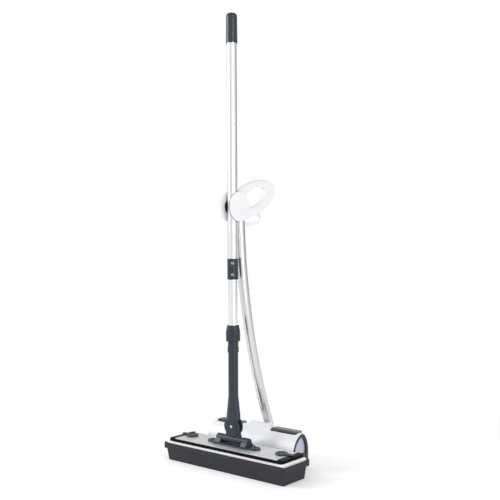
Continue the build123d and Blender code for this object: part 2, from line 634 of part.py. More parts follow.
def clip_disc(side):
    """Round cheek of the clip, with a soft outer edge."""
    low, high = sorted((side * DISC_INNER_X, side * (DISC_INNER_X + DISC_THICKNESS)))
    disc = rod_x(DISC_RADIUS, low, high, CLIP_Y, CLIP_Z)
    outer = disc.edges().sort_by(Axis.X)[-1 if side > 0 else 0]
    disc = fillet(outer, DISC_ROUND)
    if side < 0:
        for y, z in disc_screw_places():
            disc -= rod_x(DISC_SCREW_RADIUS, low, low + DISC_SCREW_DEPTH, y, z)
    return disc


def disc_screw_places():
    """Centres of the screws that hold the left cheek to the hub."""
    y = HUB_FRONT_Y + DISC_SCREW_RADIUS * 2
    return [(y, CLIP_Z - DISC_SCREW_SPREAD), (y, CLIP_Z + DISC_SCREW_SPREAD)]


def disc_screws():
    """Screw heads sunk in the left cheek."""
    face = -DISC_INNER_X - DISC_THICKNESS
    return Compound([rod_x(DISC_SCREW_RADIUS, face, face + DISC_SCREW_DEPTH, y, z)
                     for y, z in disc_screw_places()])


def clip_pad(side):
    """Soft lining on the inside of a cheek, in front of the hub."""
    low, high = sorted((side * LINING_X, side * DISC_INNER_X))
    lining = Pos(CLIP_Y, CLIP_Z) * Circle(CLIP_PAD_RADIUS)
    front = Pos(HUB_FRONT_Y - 2 * DISC_RADIUS, CLIP_Z) * Rectangle(4 * DISC_RADIUS, 4 * DISC_RADIUS)
    return across(lining & front, low, high)


def stick_point(lean):
    """Point on the stick's centre line where it leans by the given angle."""
    turn = math.radians(lean)
    return Vector(0, STICK_CENTRE_Y - STICK_ARC * math.cos(turn),
                  STICK_CENTRE_Z - STICK_ARC * math.sin(turn))


def stick_run(section, top_lean, foot_lean):
    """A section carried along the stick's arc."""
    turn = math.radians(top_lean)
    plane = Plane(stick_point(top_lean), x_dir=(1, 0, 0), z_dir=(0, math.sin(turn), -math.cos(turn)))
    axis = Axis((0, STICK_CENTRE_Y, STICK_CENTRE_Z), (1, 0, 0))
    return revolve(plane * section, axis, foot_lean - top_lean)


def plunge_lean():
    """Lean of the stick at its upper end, inside the hub."""
    return STICK_TOP_LEAN - math.degrees(STICK_PLUNGE / STICK_ARC)


def stick():
    """Curved round tube from the sweeper head to the clip."""
    section = Circle(STICK_RADIUS) - Circle(STICK_RADIUS - STICK_WALL)
    return stick_run(section, plunge_lean(), STICK_FOOT_LEAN)


def loop_handle():
    """Loop grip, hub behind the pole and hanging hook, moulded in one."""
    hub = Pos(CLIP_Y, CLIP_Z) * Circle(HUB_RADIUS)
    rear = Pos(HUB_FRONT_Y + 2 * DISC_RADIUS, CLIP_Z) * Rectangle(4 * DISC_RADIUS, 4 * DISC_RADIUS)
    handle = across(hub & rear, -DISC_INNER_X, DISC_INNER_X)
    ring = Pos(LOOP_Y, LOOP_Z) * Rot(0, 0, LOOP_TILT) * Ellipse(LOOP_HALF_LENGTH, LOOP_HALF_HEIGHT)
    ring -= Pos(HOLE_Y, HOLE_Z) * Rot(0, 0, HOLE_TILT) * Ellipse(HOLE_HALF_LENGTH, HOLE_HALF_HEIGHT)
    half = LOOP_THICKNESS / 2
    grip = across(ring, -half, half)
    rims = grip.edges().filter_by(GeomType.ELLIPSE)
    grip = fillet(rims, LOOP_ROUND)
    grip -= Pos(0, HUB_FRONT_Y, CLIP_Z) * Box(
        LOOP_THICKNESS, 4 * DISC_RADIUS, 4 * DISC_RADIUS, align=(Align.CENTER, Align.MAX, Align.CENTER))
    handle += grip
    route = FilletPolyline(HOOK_ROOT, HOOK_BEND, HOOK_TIP, radius=HOOK_BEND_RADIUS)
    hook = across(trace(route, HOOK_WIDTH), -HOOK_THICKNESS / 2, HOOK_THICKNESS / 2)
    handle += fillet(hook.edges().filter_by(Axis.X).sort_by(Axis.Y)[0:2], HOOK_WIDTH / 3)
    room = STICK_RADIUS + SEAT_FIT
    handle += stick_run(Circle(room + STICK_SOCKET_WALL), plunge_lean(), STICK_TOP_LEAN)
    return handle - stick_run(Circle(room), plunge_lean(), STICK_TOP_LEAN + STICK_EXIT_LEAN)


def stick_root():
    """Root of the stick: a plug in its foot and two cheeks on the neck pin, either side of the lug."""
    plug_lean = STICK_FOOT_LEAN - math.degrees(ROOT_PLUG / STICK_ARC)
    root = stick_run(Circle(STICK_RADIUS - STICK_WALL - SEAT_FIT), plug_lean, PIN_LEAN)
    root += stick_run(Circle(ROOT_HALF_WIDTH), STICK_FOOT_LEAN, PIN_LEAN)
    root += rod_x(ROOT_BARREL_RADIUS, -ROOT_HALF_WIDTH, ROOT_HALF_WIDTH, NECK_PIN_Y, NECK_PIN_Z)
    turn = math.radians(PIN_LEAN)
    pin = Plane((0, NECK_PIN_Y, NECK_PIN_Z), x_dir=(1, 0, 0), z_dir=(0, -math.sin(turn), math.cos(turn)))
    cut_top = NECK_LUG_RADIUS + SIDE_PLAY
    root -= pin * Pos(0, 0, cut_top) * Box(
        2 * (NECK_LUG_HALF + SIDE_PLAY), 4 * STICK_RADIUS, 2 * STICK_RADIUS,
        align=(Align.CENTER, Align.CENTER, Align.MAX))
    bore = NECK_PIN_RADIUS + RUN_FIT
    return root - rod_x(bore, -ROOT_HALF_WIDTH, ROOT_HALF_WIDTH, NECK_PIN_Y, NECK_PIN_Z)


def arch(inset, foot):
    """Section of the head in Y and Z: a sloping front and a steep rear on straight legs."""
    front, rear, top = HOOD_FRONT_Y + inset, HOOD_REAR_Y - inset, HOOD_TOP_Z - inset
    rise = top - HOOD_SPRING_Z
    front_pull = HOOD_CREST_Y - FRONT_CREST_PULL * (HOOD_CREST_Y - front)
    rear_pull = HOOD_CREST_Y + REAR_CREST_PULL * (rear - HOOD_CREST_Y)
    outline = Bezier((front, HOOD_SPRING_Z), (front, HOOD_SPRING_Z + FRONT_WALL_PULL * rise),
                     (front_pull, top), (HOOD_CREST_Y, top))
    outline += Bezier((HOOD_CREST_Y, top), (rear_pull, top),
                      (rear, HOOD_SPRING_Z + REAR_WALL_PULL * rise), (rear, HOOD_SPRING_Z))
    outline += Polyline((rear, HOOD_SPRING_Z), (rear, foot), (front, foot), (front, HOOD_SPRING_Z))
    return make_face(outline)


def neck_block():
    """Raised saddle in the middle of the hood, with a lug behind it for the stick's root."""
    crest = HOOD_TOP_Z
    rear = HOOD_REAR_Y - SADDLE_REAR_INSET
    saddle = make_face(Polyline(
        (SADDLE_FRONT_Y, SADDLE_ROOT_Z), (SADDLE_FRONT_Y, crest - SADDLE_FRONT_DIP),
        (SADDLE_CREST_Y, SADDLE_TOP_Z), (rear, SADDLE_TOP_Z), (rear, SADDLE_ROOT_Z), close=True))
    block = across(saddle, -SADDLE_FOOT_HALF, SADDLE_FOOT_HALF)
    block = fillet(block.edges().filter_by(Axis.X).group_by(Axis.Z)[-1], SADDLE_ROUND)
    flank = make_face(Polyline(
        (-SADDLE_FOOT_HALF, SADDLE_ROOT_Z), (-SADDLE_FOOT_HALF, crest), (-SADDLE_HALF_WIDTH, SADDLE_TOP_Z),
        (SADDLE_HALF_WIDTH, SADDLE_TOP_Z), (SADDLE_FOOT_HALF, crest), (SADDLE_FOOT_HALF, SADDLE_ROOT_Z),
        close=True))
    flank = fillet(flank.vertices().group_by(Axis.Y)[-1], SADDLE_ROUND)
    block &= extrude(Plane.XZ * flank, 2 * rear, both=True)
    seat = rear - SADDLE_ROUND
    lug = make_face(Polyline(
        (seat, NECK_PIN_Z - NECK_LUG_DROP), (NECK_PIN_Y, NECK_PIN_Z + NECK_LUG_RADIUS),
        (NECK_PIN_Y, NECK_PIN_Z - NECK_LUG_RADIUS), (seat, SADDLE_ROOT_Z), close=True))
    lug += Pos(NECK_PIN_Y, NECK_PIN_Z) * Circle(NECK_LUG_RADIUS)
    return block + across(lug, -NECK_LUG_HALF, NECK_LUG_HALF)


def bar_block(side, play):
    """Upright block with rounded corners at the place of one top bar."""
    length = BAR_FAR_X - BAR_NEAR_X + 2 * play
    middle = side * (BAR_NEAR_X + BAR_FAR_X) / 2
    return slab(length, BAR_WIDTH + 2 * play, BAR_CORNER + play, HOOD_SPRING_Z, BAR_TOP_Z, middle, BAR_Y)


def flap_lug(face, side):
    """Small lug inside the hood that carries one end of a flap's pin."""
    y = HEAD_Y + face * FLAP_PIN_REACH
    wall = HOOD_FRONT_Y + HOOD_WALL / 2 if face < 0 else HOOD_REAR_Y - HOOD_WALL / 2
    radius = FLAP_BARREL_RADIUS
    low = FLAP_HALF_LENGTH + LUG_PLAY
    plate = Pos((y + wall) / 2, FLAP_PIN_Z) * Rectangle(abs(wall - y), 2 * radius)
    plate += Pos(y, FLAP_PIN_Z) * Circle(radius)
    plate -= Pos(y, FLAP_PIN_Z) * Circle(FLAP_PIN_RADIUS + RUN_FIT)
    start, end = sorted((side * low, side * (low + LUG_THICKNESS)))
    return across(plate, start, end)


def sweeper_hood():
    """White hood: arched shell, raised neck, slots for the bars and lugs for the flaps."""
    length = HOOD_HALF_LENGTH
    hood = across(arch(0, HOOD_FOOT_Z), -length, length) + neck_block()
    hood -= across(arch(HOOD_WALL, HOOD_FOOT_Z), -length, length)
    hood -= rod_x(NECK_PIN_RADIUS, -NECK_LUG_HALF, NECK_LUG_HALF, NECK_PIN_Y, NECK_PIN_Z)
    for side in (-1, 1):
        hood -= bar_block(side, BAR_PLAY)
        for face in (-1, 1):
            hood += flap_lug(face, side)
    return hood


def end_frame(side):
    """Dark arched frame inside the hood's end, with a window opening and seats for the spindle and axles."""
    inner, outer = side * END_INNER_X, side * HOOD_HALF_LENGTH
    low, high = sorted((inner, outer))
    frame = across(arch(HOOD_WALL + SEAT_FIT, END_FOOT_Z), low, high)
    frame -= across(arch(HOOD_WALL + WINDOW_BAND, WINDOW_SILL_Z), low, high)
    seat_low, seat_high = sorted((inner, inner + side * SPINDLE_SEAT))
    frame -= rod_x(SPINDLE_RADIUS + RUN_FIT, seat_low, seat_high, HEAD_Y, BRUSH_Z)
    for face in (-1, 1):
        frame -= rod_x(AXLE_RADIUS, seat_low, seat_high, HEAD_Y + face * WHEEL_SPREAD, WHEEL_Z)
    return frame


def end_window(side):
    """Clear panel in an end frame."""
    outer = HOOD_HALF_LENGTH - WINDOW_INSET
    low, high = sorted((side * outer, side * (outer - WINDOW_THICKNESS)))
    return across(arch(HOOD_WALL + WINDOW_BAND, WINDOW_SILL_Z), low, high)


def neck_pin():
    """Pin through the hood's lug and the cheeks of the stick's root."""
    return rod_x(NECK_PIN_RADIUS, -ROOT_HALF_WIDTH, ROOT_HALF_WIDTH, NECK_PIN_Y, NECK_PIN_Z)


def stub_axles():
    """Four short axles set in the end frames, each with a head inside its wheel."""
    axles = []
    tail = END_INNER_X + SPINDLE_SEAT
    head = WHEEL_INNER - SIDE_PLAY
    for side in (-1, 1):
        for face in (-1, 1):
            y = HEAD_Y + face * WHEEL_SPREAD
            low, high = sorted((side * head, side * tail))
            axle = rod_x(AXLE_RADIUS, low, high, y, WHEEL_Z)
            low, high = sorted((side * head, side * (head - AXLE_HEAD)))
            axles.append(axle + rod_x(AXLE_HEAD_RADIUS, low, high, y, WHEEL_Z))
    return Compound(axles)


def wheel(side, face):
    """Hub of one running wheel."""
    low, high = sorted((side * WHEEL_INNER, side * (WHEEL_INNER + WHEEL_WIDTH)))
    y = HEAD_Y + face * WHEEL_SPREAD
    hub = rod_x(WHEEL_HUB_RADIUS, low, high, y, WHEEL_Z)
    return hub - rod_x(AXLE_RADIUS + RUN_FIT, low, high, y, WHEEL_Z)


def tyre(side, face):
    """Rubber ring on one wheel, which also drives the brush's pulley."""
    low, high = sorted((side * WHEEL_INNER, side * (WHEEL_INNER + WHEEL_WIDTH)))
    y = HEAD_Y + face * WHEEL_SPREAD
    return rod_x(WHEEL_RADIUS, low, high, y, WHEEL_Z) - rod_x(WHEEL_HUB_RADIUS, low, high, y, WHEEL_Z)


def brush_core():
    """Roller with spindle ends that turn in the end frames."""
    tip = END_INNER_X + SPINDLE_SEAT - SIDE_PLAY
    core = rod_x(SPINDLE_RADIUS, -tip, tip, HEAD_Y, BRUSH_Z)
    return core + rod_x(BRUSH_CORE_RADIUS, -BRUSH_HALF_LENGTH, BRUSH_HALF_LENGTH, HEAD_Y, BRUSH_Z)


def drive_pulleys():
    """Friction pulleys on the spindle, between the wheels."""
    pulleys = []
    for side in (-1, 1):
        low, high = sorted((side * WHEEL_INNER, side * (WHEEL_INNER + WHEEL_WIDTH)))
        ring = rod_x(PULLEY_RADIUS, low, high, HEAD_Y, BRUSH_Z)
        pulleys.append(ring - rod_x(SPINDLE_RADIUS, low, high, HEAD_Y, BRUSH_Z))
    return Compound(pulleys)


def brush_bristles():
    """Tufts set in the roller along winding rows."""
    span = 2 * (BRUSH_HALF_LENGTH - 2 * TUFT_SIZE)
    length = BRUSH_TIP_RADIUS - BRUSH_CORE_RADIUS + TUFT_ROOT
    tufts = []
    for row in range(TUFT_ROWS):
        for index in range(TUFTS_PER_ROW):
            share = index / (TUFTS_PER_ROW - 1)
            turn = row * 360 / TUFT_ROWS + share * TUFT_TWIST
            tuft = Pos(0, 0, BRUSH_CORE_RADIUS - TUFT_ROOT) * Box(
                TUFT_SIZE, TUFT_SIZE, length, align=(Align.CENTER, Align.CENTER, Align.MIN))
            tufts.append(Pos((share - 0.5) * span, HEAD_Y, BRUSH_Z) * Rot(turn, 0, 0) * tuft)
    return Compound(tufts)


def bin_bar(side, face):
    """Press bar that follows the hood's front, level behind the crest, with a leg down to its flap."""
    level = Pos((HOOD_CREST_Y + HOOD_REAR_Y) / 2, (HOOD_SPRING_Z + BAR_TOP_Z) / 2) * Rectangle(
        HOOD_REAR_Y - HOOD_CREST_Y, BAR_TOP_Z - HOOD_SPRING_Z)
    section = arch(-BAR_PROUD, HOOD_FOOT_Z) + level - arch(BAR_DEPTH, HOOD_FOOT_Z)
    bar = bar_block(side, 0) & across(section, -HOOD_HALF_LENGTH, HOOD_HALF_LENGTH)
    knee_y = HEAD_Y + face * (FLAP_PIN_REACH - LEG_PRESS)
    half = LEG_THICKNESS / 2
    foot_z = FLAP_PIN_Z + FLAP_THICKNESS / 2 + SLIDE_FIT
    hip_y = BAR_Y + face * (BAR_WIDTH / 2 - LEG_THICKNESS)
    hip_top = HOOD_TOP_Z - BAR_DEPTH
    hip_low = hip_top - 2 * LEG_THICKNESS
    leg = make_face(Polyline(
        (knee_y - half, foot_z), (knee_y + half, foot_z), (knee_y + half, LEG_KNEE_Z),
        (hip_y + half, hip_low), (hip_y + half, hip_top), (hip_y - half, hip_top),
        (hip_y - half, hip_low), (knee_y - half, LEG_KNEE_Z), close=True))
    low, high = side * LEG_X - LEG_WIDTH / 2, side * LEG_X + LEG_WIDTH / 2
    return bar + across(leg, low, high)


def dust_flap(face):
    """Hinged flap beside the brush that lets the dust out."""
    y = HEAD_Y + face * FLAP_PIN_REACH
    half = FLAP_HALF_LENGTH
    leaf = Pos(y - face * FLAP_REACH / 2, FLAP_PIN_Z) * Rectangle(FLAP_REACH, FLAP_THICKNESS)
    leaf += Pos(y, FLAP_PIN_Z) * Circle(FLAP_BARREL_RADIUS)
    flap = across(leaf, -half, half)
    reach = half + LUG_PLAY + LUG_THICKNESS
    return flap + rod_x(FLAP_PIN_RADIUS, -reach, reach, y, FLAP_PIN_Z)


SIDES = {"left": -1, "right": 1}
FACES = {"front": -1, "rear": 1}

for piece in (tray, mop_pad, base_frame, top_plate, knob_studs, joint_base, base_screws, tilt_pin, yoke, arm,
              swing_pin, pivot_caps, collet, twist_collar, lower_tube, tube_plug, coupling_sleeve,
              sleeve_rivets, upper_tube, top_grip, loop_handle, disc_screws, stick, stick_root,
              sweeper_hood, neck_pin, stub_axles, brush_core, drive_pulleys, brush_bristles):
    parts[piece.__name__] = piece()
for name, side in SIDES.items():
    for piece in (end_cap, lock_knob, clip_disc, clip_pad, end_frame, end_window):
        parts[f"{piece.__name__}_{name}"] = piece(side)
    for end, face in FACES.items():
        parts[f"wheel_{end}_{name}"] = wheel(side, face)
        parts[f"tyre_{end}_{name}"] = tyre(side, face)
for end, face in FACES.items():
    parts[f"dust_flap_{end}"] = dust_flap(face)
parts["bin_bar_left"] = bin_bar(SIDES["left"], FACES["front"])
parts["bin_bar_right"] = bin_bar(SIDES["right"], FACES["rear"])

os.makedirs("parts", exist_ok=True)
for name, solid in parts.items():
    export_step(solid, f"parts/{name}.step")
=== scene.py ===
"""Looks of a floor mop that stands in its tray with a slim carpet sweeper clipped to its pole.

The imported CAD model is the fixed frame. Each sub-assembly below is a class that refines its nodes,
adds the fine pieces that repeat (screws, bristles, pile, stitches, treads) and gives them their finishes.
Lengths are metres in the frame of the CAD: origin under the tray, +X along it, +Y to the rear, +Z up.
"""

from __future__ import annotations

import json
import logging
import math
from collections.abc import Mapping, Sequence
from dataclasses import dataclass, field
from enum import Enum

import bmesh
import bpy
from mathutils import Matrix, Quaternion, Vector
from mathutils.bvhtree import BVHTree

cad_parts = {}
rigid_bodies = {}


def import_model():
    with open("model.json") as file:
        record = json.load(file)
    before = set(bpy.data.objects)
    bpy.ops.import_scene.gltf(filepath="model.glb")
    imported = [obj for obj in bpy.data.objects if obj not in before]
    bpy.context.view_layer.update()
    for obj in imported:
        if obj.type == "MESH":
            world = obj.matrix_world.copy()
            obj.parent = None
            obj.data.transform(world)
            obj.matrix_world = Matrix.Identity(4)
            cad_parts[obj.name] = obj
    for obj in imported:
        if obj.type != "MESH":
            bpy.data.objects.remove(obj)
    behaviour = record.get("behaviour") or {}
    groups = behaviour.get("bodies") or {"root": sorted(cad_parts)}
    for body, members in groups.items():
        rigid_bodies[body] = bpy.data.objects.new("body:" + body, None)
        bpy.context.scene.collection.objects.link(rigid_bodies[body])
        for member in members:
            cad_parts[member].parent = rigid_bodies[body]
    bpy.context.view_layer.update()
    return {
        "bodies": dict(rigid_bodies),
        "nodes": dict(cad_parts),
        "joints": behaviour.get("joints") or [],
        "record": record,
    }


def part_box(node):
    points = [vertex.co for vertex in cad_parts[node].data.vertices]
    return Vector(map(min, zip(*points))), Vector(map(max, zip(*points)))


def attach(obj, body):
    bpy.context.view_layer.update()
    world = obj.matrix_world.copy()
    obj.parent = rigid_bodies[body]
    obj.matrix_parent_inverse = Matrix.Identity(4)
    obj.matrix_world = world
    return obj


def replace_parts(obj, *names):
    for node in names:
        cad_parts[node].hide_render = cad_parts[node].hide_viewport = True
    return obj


LOG = logging.getLogger("mop_and_sweeper")

FLOAT = "NodeSocketFloat"
VECTOR = "NodeSocketVector"
GEOMETRY = "NodeSocketGeometry"
SHADER_TREE = "ShaderNodeTree"
NOISE = "ShaderNodeTexNoise"
MAP_RANGE = "ShaderNodeMapRange"
LIGHT_PATH = "ShaderNodeLightPath"
MIX_SHADER = "ShaderNodeMixShader"
WHITE = (1.0, 1.0, 1.0, 1.0)
QUARTER_STEPS = 6
SHARP_ANGLE = 32.0
SIDES = ("left", "right")
ENDS = ("front", "rear")

Triple = tuple[float, float, float]
Outline = Sequence[tuple[float, float]]
NodeTree = bpy.types.NodeTree
Socket = bpy.types.NodeSocket
Size = float | int | tuple[float, ...]
Source = Socket | Size | Vector
Wires = Mapping[str | int, Source]


class Grain(Enum):
    """How the surface of a finish is worked."""

    MOULDED = "moulded"
    DRAWN = "drawn"
    PILE = "pile"


class Along(Enum):
    """Direction that the lines of a drawn metal follow, as the stretch of its pattern."""

    NONE = (1.0, 1.0, 1.0)
    X = (0.015, 1.0, 1.0)
    Z = (1.0, 1.0, 0.015)


def corners(node: str) -> tuple[Vector, Vector]:
    """Return the low and the high corner of a CAD node's box."""
    low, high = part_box(node)
    return Vector(low), Vector(high)


def linked(name: str, data: bpy.types.ID) -> bpy.types.Object:
    """Make an object for a mesh, a lamp or a camera and link it to the scene.

    Args:
        name: Name of the object.
        data: The mesh, lamp or camera that it holds.

    Returns:
        The new object.
    """
    made = bpy.data.objects.new(name, data)
    bpy.context.scene.collection.objects.link(made)
    return made


def mesh_of(name: str, shape: bmesh.types.BMesh) -> bpy.types.Mesh:
    """Turn a finished bmesh into a mesh and free it.

    Args:
        name: Name of the mesh.
        shape: The bmesh, of no use afterwards.

    Returns:
        The new mesh.
    """
    mesh = bpy.data.meshes.new(name)
    shape.to_mesh(mesh)
    shape.free()
    return mesh


def smooth(mesh: bpy.types.Mesh, sharp: float) -> bpy.types.Mesh:
    """Shade a mesh smooth, but for its sharp edges.

    Args:
        mesh: The mesh.
        sharp: Angle in degrees from which an edge stays sharp.

    Returns:
        The same mesh.
    """
    mesh.shade_smooth()
    mesh.set_sharp_from_angle(angle=math.radians(sharp))
    return mesh


def evaluated(holder: bpy.types.Object, name: str) -> bpy.types.Mesh:
    """Apply the modifiers of an object to a new mesh.

    Args:
        holder: The object, which keeps its own mesh.
        name: Name of the mesh that comes out.

    Returns:
        The new mesh.
    """
    bpy.context.view_layer.update()
    graph = bpy.context.evaluated_depsgraph_get()
    mesh = bpy.data.meshes.new_from_object(holder.evaluated_get(graph))
    mesh.name = name
    return mesh


def quarter_turns(first: float = 0.0) -> list[float]:
    """Return the angles in radians of the steps of a quarter round, from a first angle in degrees."""
    return [math.radians(first + 90.0 * step / QUARTER_STEPS) for step in range(QUARTER_STEPS + 1)]


class Wiring:
    """A node tree, with short ways to add nodes and to wire or fill their inputs."""

    def __init__(self, tree: NodeTree) -> None:
        """Keep the tree."""
        self.tree = tree

    def fill(self, socket: Socket, source: Source) -> None:
        """Wire a socket, or give it a plain value.

        Args:
            socket: The input.
            source: Socket that it is wired to, or its value.
        """
        if isinstance(source, bpy.types.NodeSocket):
            self.tree.links.new(source, socket)
        else:
            socket.default_value = source

    def join(self, node: bpy.types.Node, wires: Wires) -> bpy.types.Node:
        """Wire or fill inputs of a node.

        Args:
            node: The node.
            wires: Socket or plain value for each input, by its label or its place.

        Returns:
            The same node.
        """
        for key, source in wires.items():
            if isinstance(key, int):
                socket = node.inputs[key]
            else:
                socket = next(one for one in node.inputs if one.name == key and one.enabled)
            self.fill(socket, source)
        return node

    def node(self, kind: str, wires: Wires, **settings: object) -> bpy.types.Node:
        """Add a node, set it and wire or fill its inputs.

        Args:
            kind: Type of the node.
            wires: Socket or plain value for each input, by its label or its place.
            settings: Properties of the node.

        Returns:
            The new node.
        """
        made = self.tree.nodes.new(kind)
        for label, setting in settings.items():
            setattr(made, label, setting)
        return self.join(made, wires)

    def maths(self, operation: str, *terms: Socket | float) -> Socket:
        """Return the result of one sum."""
        return self.node("ShaderNodeMath", dict(enumerate(terms)), operation=operation).outputs[0]

    def blend(self, factor: Socket, below: Source, above: Source) -> Socket:
        """Return a mix of two colours."""
        return self.node("ShaderNodeMix", {
            "Factor": factor, "A": below, "B": above}, data_type="RGBA").outputs["Result"]


class Group(Wiring):
    """A node group with named inputs and outputs."""

    def __init__(self, name: str, kind: str, inputs: dict[str, str], outputs: dict[str, str]) -> None:
        """Make the group, empty but for its two ends.

        Args:
            name: Name of the group.
            kind: Type of its tree.
            inputs: Socket type of each input, by its label.
            outputs: Socket type of each output, by its label.
        """
        super().__init__(bpy.data.node_groups.new(name, kind))
        for way, sockets in (("INPUT", inputs), ("OUTPUT", outputs)):
            for label, socket_type in sockets.items():
                self.tree.interface.new_socket(label, in_out=way, socket_type=socket_type)
        self.entry = self.tree.nodes.new("NodeGroupInput")
        self.leave = self.tree.nodes.new("NodeGroupOutput")

    def value(self, label: str) -> Socket:
        """Return the socket of a named input."""
        return self.entry.outputs[label]

    def end(self, results: dict[str, Socket]) -> NodeTree:
        """Wire the outputs and return the finished tree."""
        self.join(self.leave, results)
        return self.tree


class GrainGroup(Group):
    """A shader group that gives the relief and the slow mottle of one kind of surface."""

    def __init__(self, name: str) -> None:
        """Make the group with the sockets that every grain has."""
        super().__init__(name, SHADER_TREE, {"Vector": VECTOR, "Scale": FLOAT, "Run": VECTOR},
                         {"Height": FLOAT, "Mottle": FLOAT})

    def noise(self, wires: Wires) -> Socket:
        """Return a noise pattern, on the group's own coordinates unless others are given."""
        return self.node(NOISE, {"Vector": self.value("Vector"), **wires}).outputs[0]


class SurfaceGroups:
    """Shader node groups that several finishes share."""

    DRAWN_SHARE = 0.65

    def __init__(self) -> None:
        """Build every group once."""
        self.by_grain = {
            Grain.MOULDED: self.moulded(),
            Grain.DRAWN: self.drawn(),
            Grain.PILE: self.pile(),
        }
        self.wear = self.handling()

    @staticmethod
    def moulded() -> NodeTree:
        """Make the fine spark-eroded texture of moulded plastic, with slow flow marks.

        Returns:
            The group.
        """
        group = GrainGroup("moulded_grain")
        return group.end({
            "Height": group.noise({"Scale": group.value("Scale"), "Detail": 3.0}),
            "Mottle": group.noise({"Scale": 26.0, "Detail": 4.0})})

    def drawn(self) -> NodeTree:
        """Make the long fine lines of brushed or drawn metal.

        Returns:
            The group.
        """
        group = GrainGroup("drawn_lines")
        stretch = group.node("ShaderNodeVectorMath", {
            0: group.value("Vector"), 1: group.value("Run")}, operation="MULTIPLY")
        lines = group.noise({
            "Vector": stretch.outputs[0], "Scale": group.value("Scale"), "Detail": 5.0, "Roughness": 0.7})
        slow = group.noise({"Scale": 18.0})
        fine_part = group.maths("MULTIPLY", lines, self.DRAWN_SHARE)
        mottle = group.maths("MULTIPLY_ADD", slow, 1.0 - self.DRAWN_SHARE, fine_part)
        return group.end({"Height": lines, "Mottle": mottle})

    @staticmethod
    def pile() -> NodeTree:
        """Make the small rounded knots of looped microfibre.

        Returns:
            The group.
        """
        group = GrainGroup("loop_pile")
        knots = group.node("ShaderNodeTexVoronoi", {
            "Vector": group.value("Vector"), "Scale": group.value("Scale")}, feature="SMOOTH_F1")
        return group.end({
            "Height": group.maths("SUBTRACT", 1.0, knots.outputs["Distance"]),
            "Mottle": group.noise({"Scale": 60.0})})

    @staticmethod
    def handling() -> NodeTree:
        """Make sparse rubbed patches, as a mask.

        Returns:
            The group.
        """
        group = Group("handling_wear", SHADER_TREE, {"Vector": VECTOR, "Scale": FLOAT, "Amount": FLOAT},
                      {"Mask": FLOAT})
        patches = group.node(NOISE, {
            "Vector": group.value("Vector"), "Scale": group.value("Scale"), "Detail": 8.0, "Roughness": 0.62})
        edge = group.node(MAP_RANGE, {"Value": patches.outputs[0], "From Min": 0.54, "From Max": 0.72})
        return group.end({"Mask": group.maths("MULTIPLY", edge.outputs["Result"], group.value("Amount"))})


@dataclass(frozen=True)
class Finish:
    """One surface finish, for one material slot of the record."""

    slot: str
    grain: Grain
    colour: Triple
    shade: Triple
    roughness: float
    wander: float = 0.06
    scale: float = 900.0
    relief: float = 0.15
    relief_depth: float = 0.0002
    along: Along = Along.NONE
    metallic: float = 0.0
    coat: float = 0.0
    coat_roughness: float = 0.08
    sheen: float = 0.0
    specular: float = 0.5
    transmission: float = 0.0
    rubbed: Triple | None = None
    rubbed_amount: float = 0.0
    rubbed_scale: float = 34.0
    smoothest: float = 0.02
    variant: str = ""

    @property
    def name(self) -> str:
        """Name of the material: the slot, or the variant where a slot has two."""
        return self.variant or self.slot

    def build(self, groups: SurfaceGroups) -> bpy.types.Material:
        """Make the material.

        Args:
            groups: The shared shader groups.

        Returns:
            The node material of this finish.
        """
        material = bpy.data.materials.new(self.name)
        material.use_nodes = True
        wiring = Wiring(material.node_tree)
        place = wiring.node("ShaderNodeTexCoord", {}).outputs["Object"]
        grain = wiring.node("ShaderNodeGroup", {}, node_tree=groups.by_grain[self.grain])
        wiring.join(grain, {"Vector": place, "Scale": self.scale, "Run": self.along.value})
        mottle = grain.outputs["Mottle"]
        colour = wiring.blend(mottle, (*self.shade, 1.0), (*self.colour, 1.0))
        if self.rubbed is not None:
            wear = wiring.node("ShaderNodeGroup", {}, node_tree=groups.wear)
            wiring.join(wear, {"Vector": place, "Scale": self.rubbed_scale, "Amount": self.rubbed_amount})
            colour = wiring.blend(wear.outputs["Mask"], colour, (*self.rubbed, 1.0))
        dull = wiring.node(MAP_RANGE, {
            "Value": mottle, "To Min": max(self.smoothest, self.roughness - self.wander),
            "To Max": min(1.0, self.roughness + self.wander)})
        bump = wiring.node("ShaderNodeBump", {
            "Strength": self.relief, "Distance": self.relief_depth, "Height": grain.outputs["Height"]})
        wiring.join(material.node_tree.nodes["Principled BSDF"], {
            "Base Color": colour, "Roughness": dull.outputs["Result"], "Normal": bump.outputs["Normal"],
            "Metallic": self.metallic, "Coat Weight": self.coat, "Coat Roughness": self.coat_roughness,
            "Sheen Weight": self.sheen, "Specular IOR Level": self.specular,
            "Transmission Weight": self.transmission})
        return material


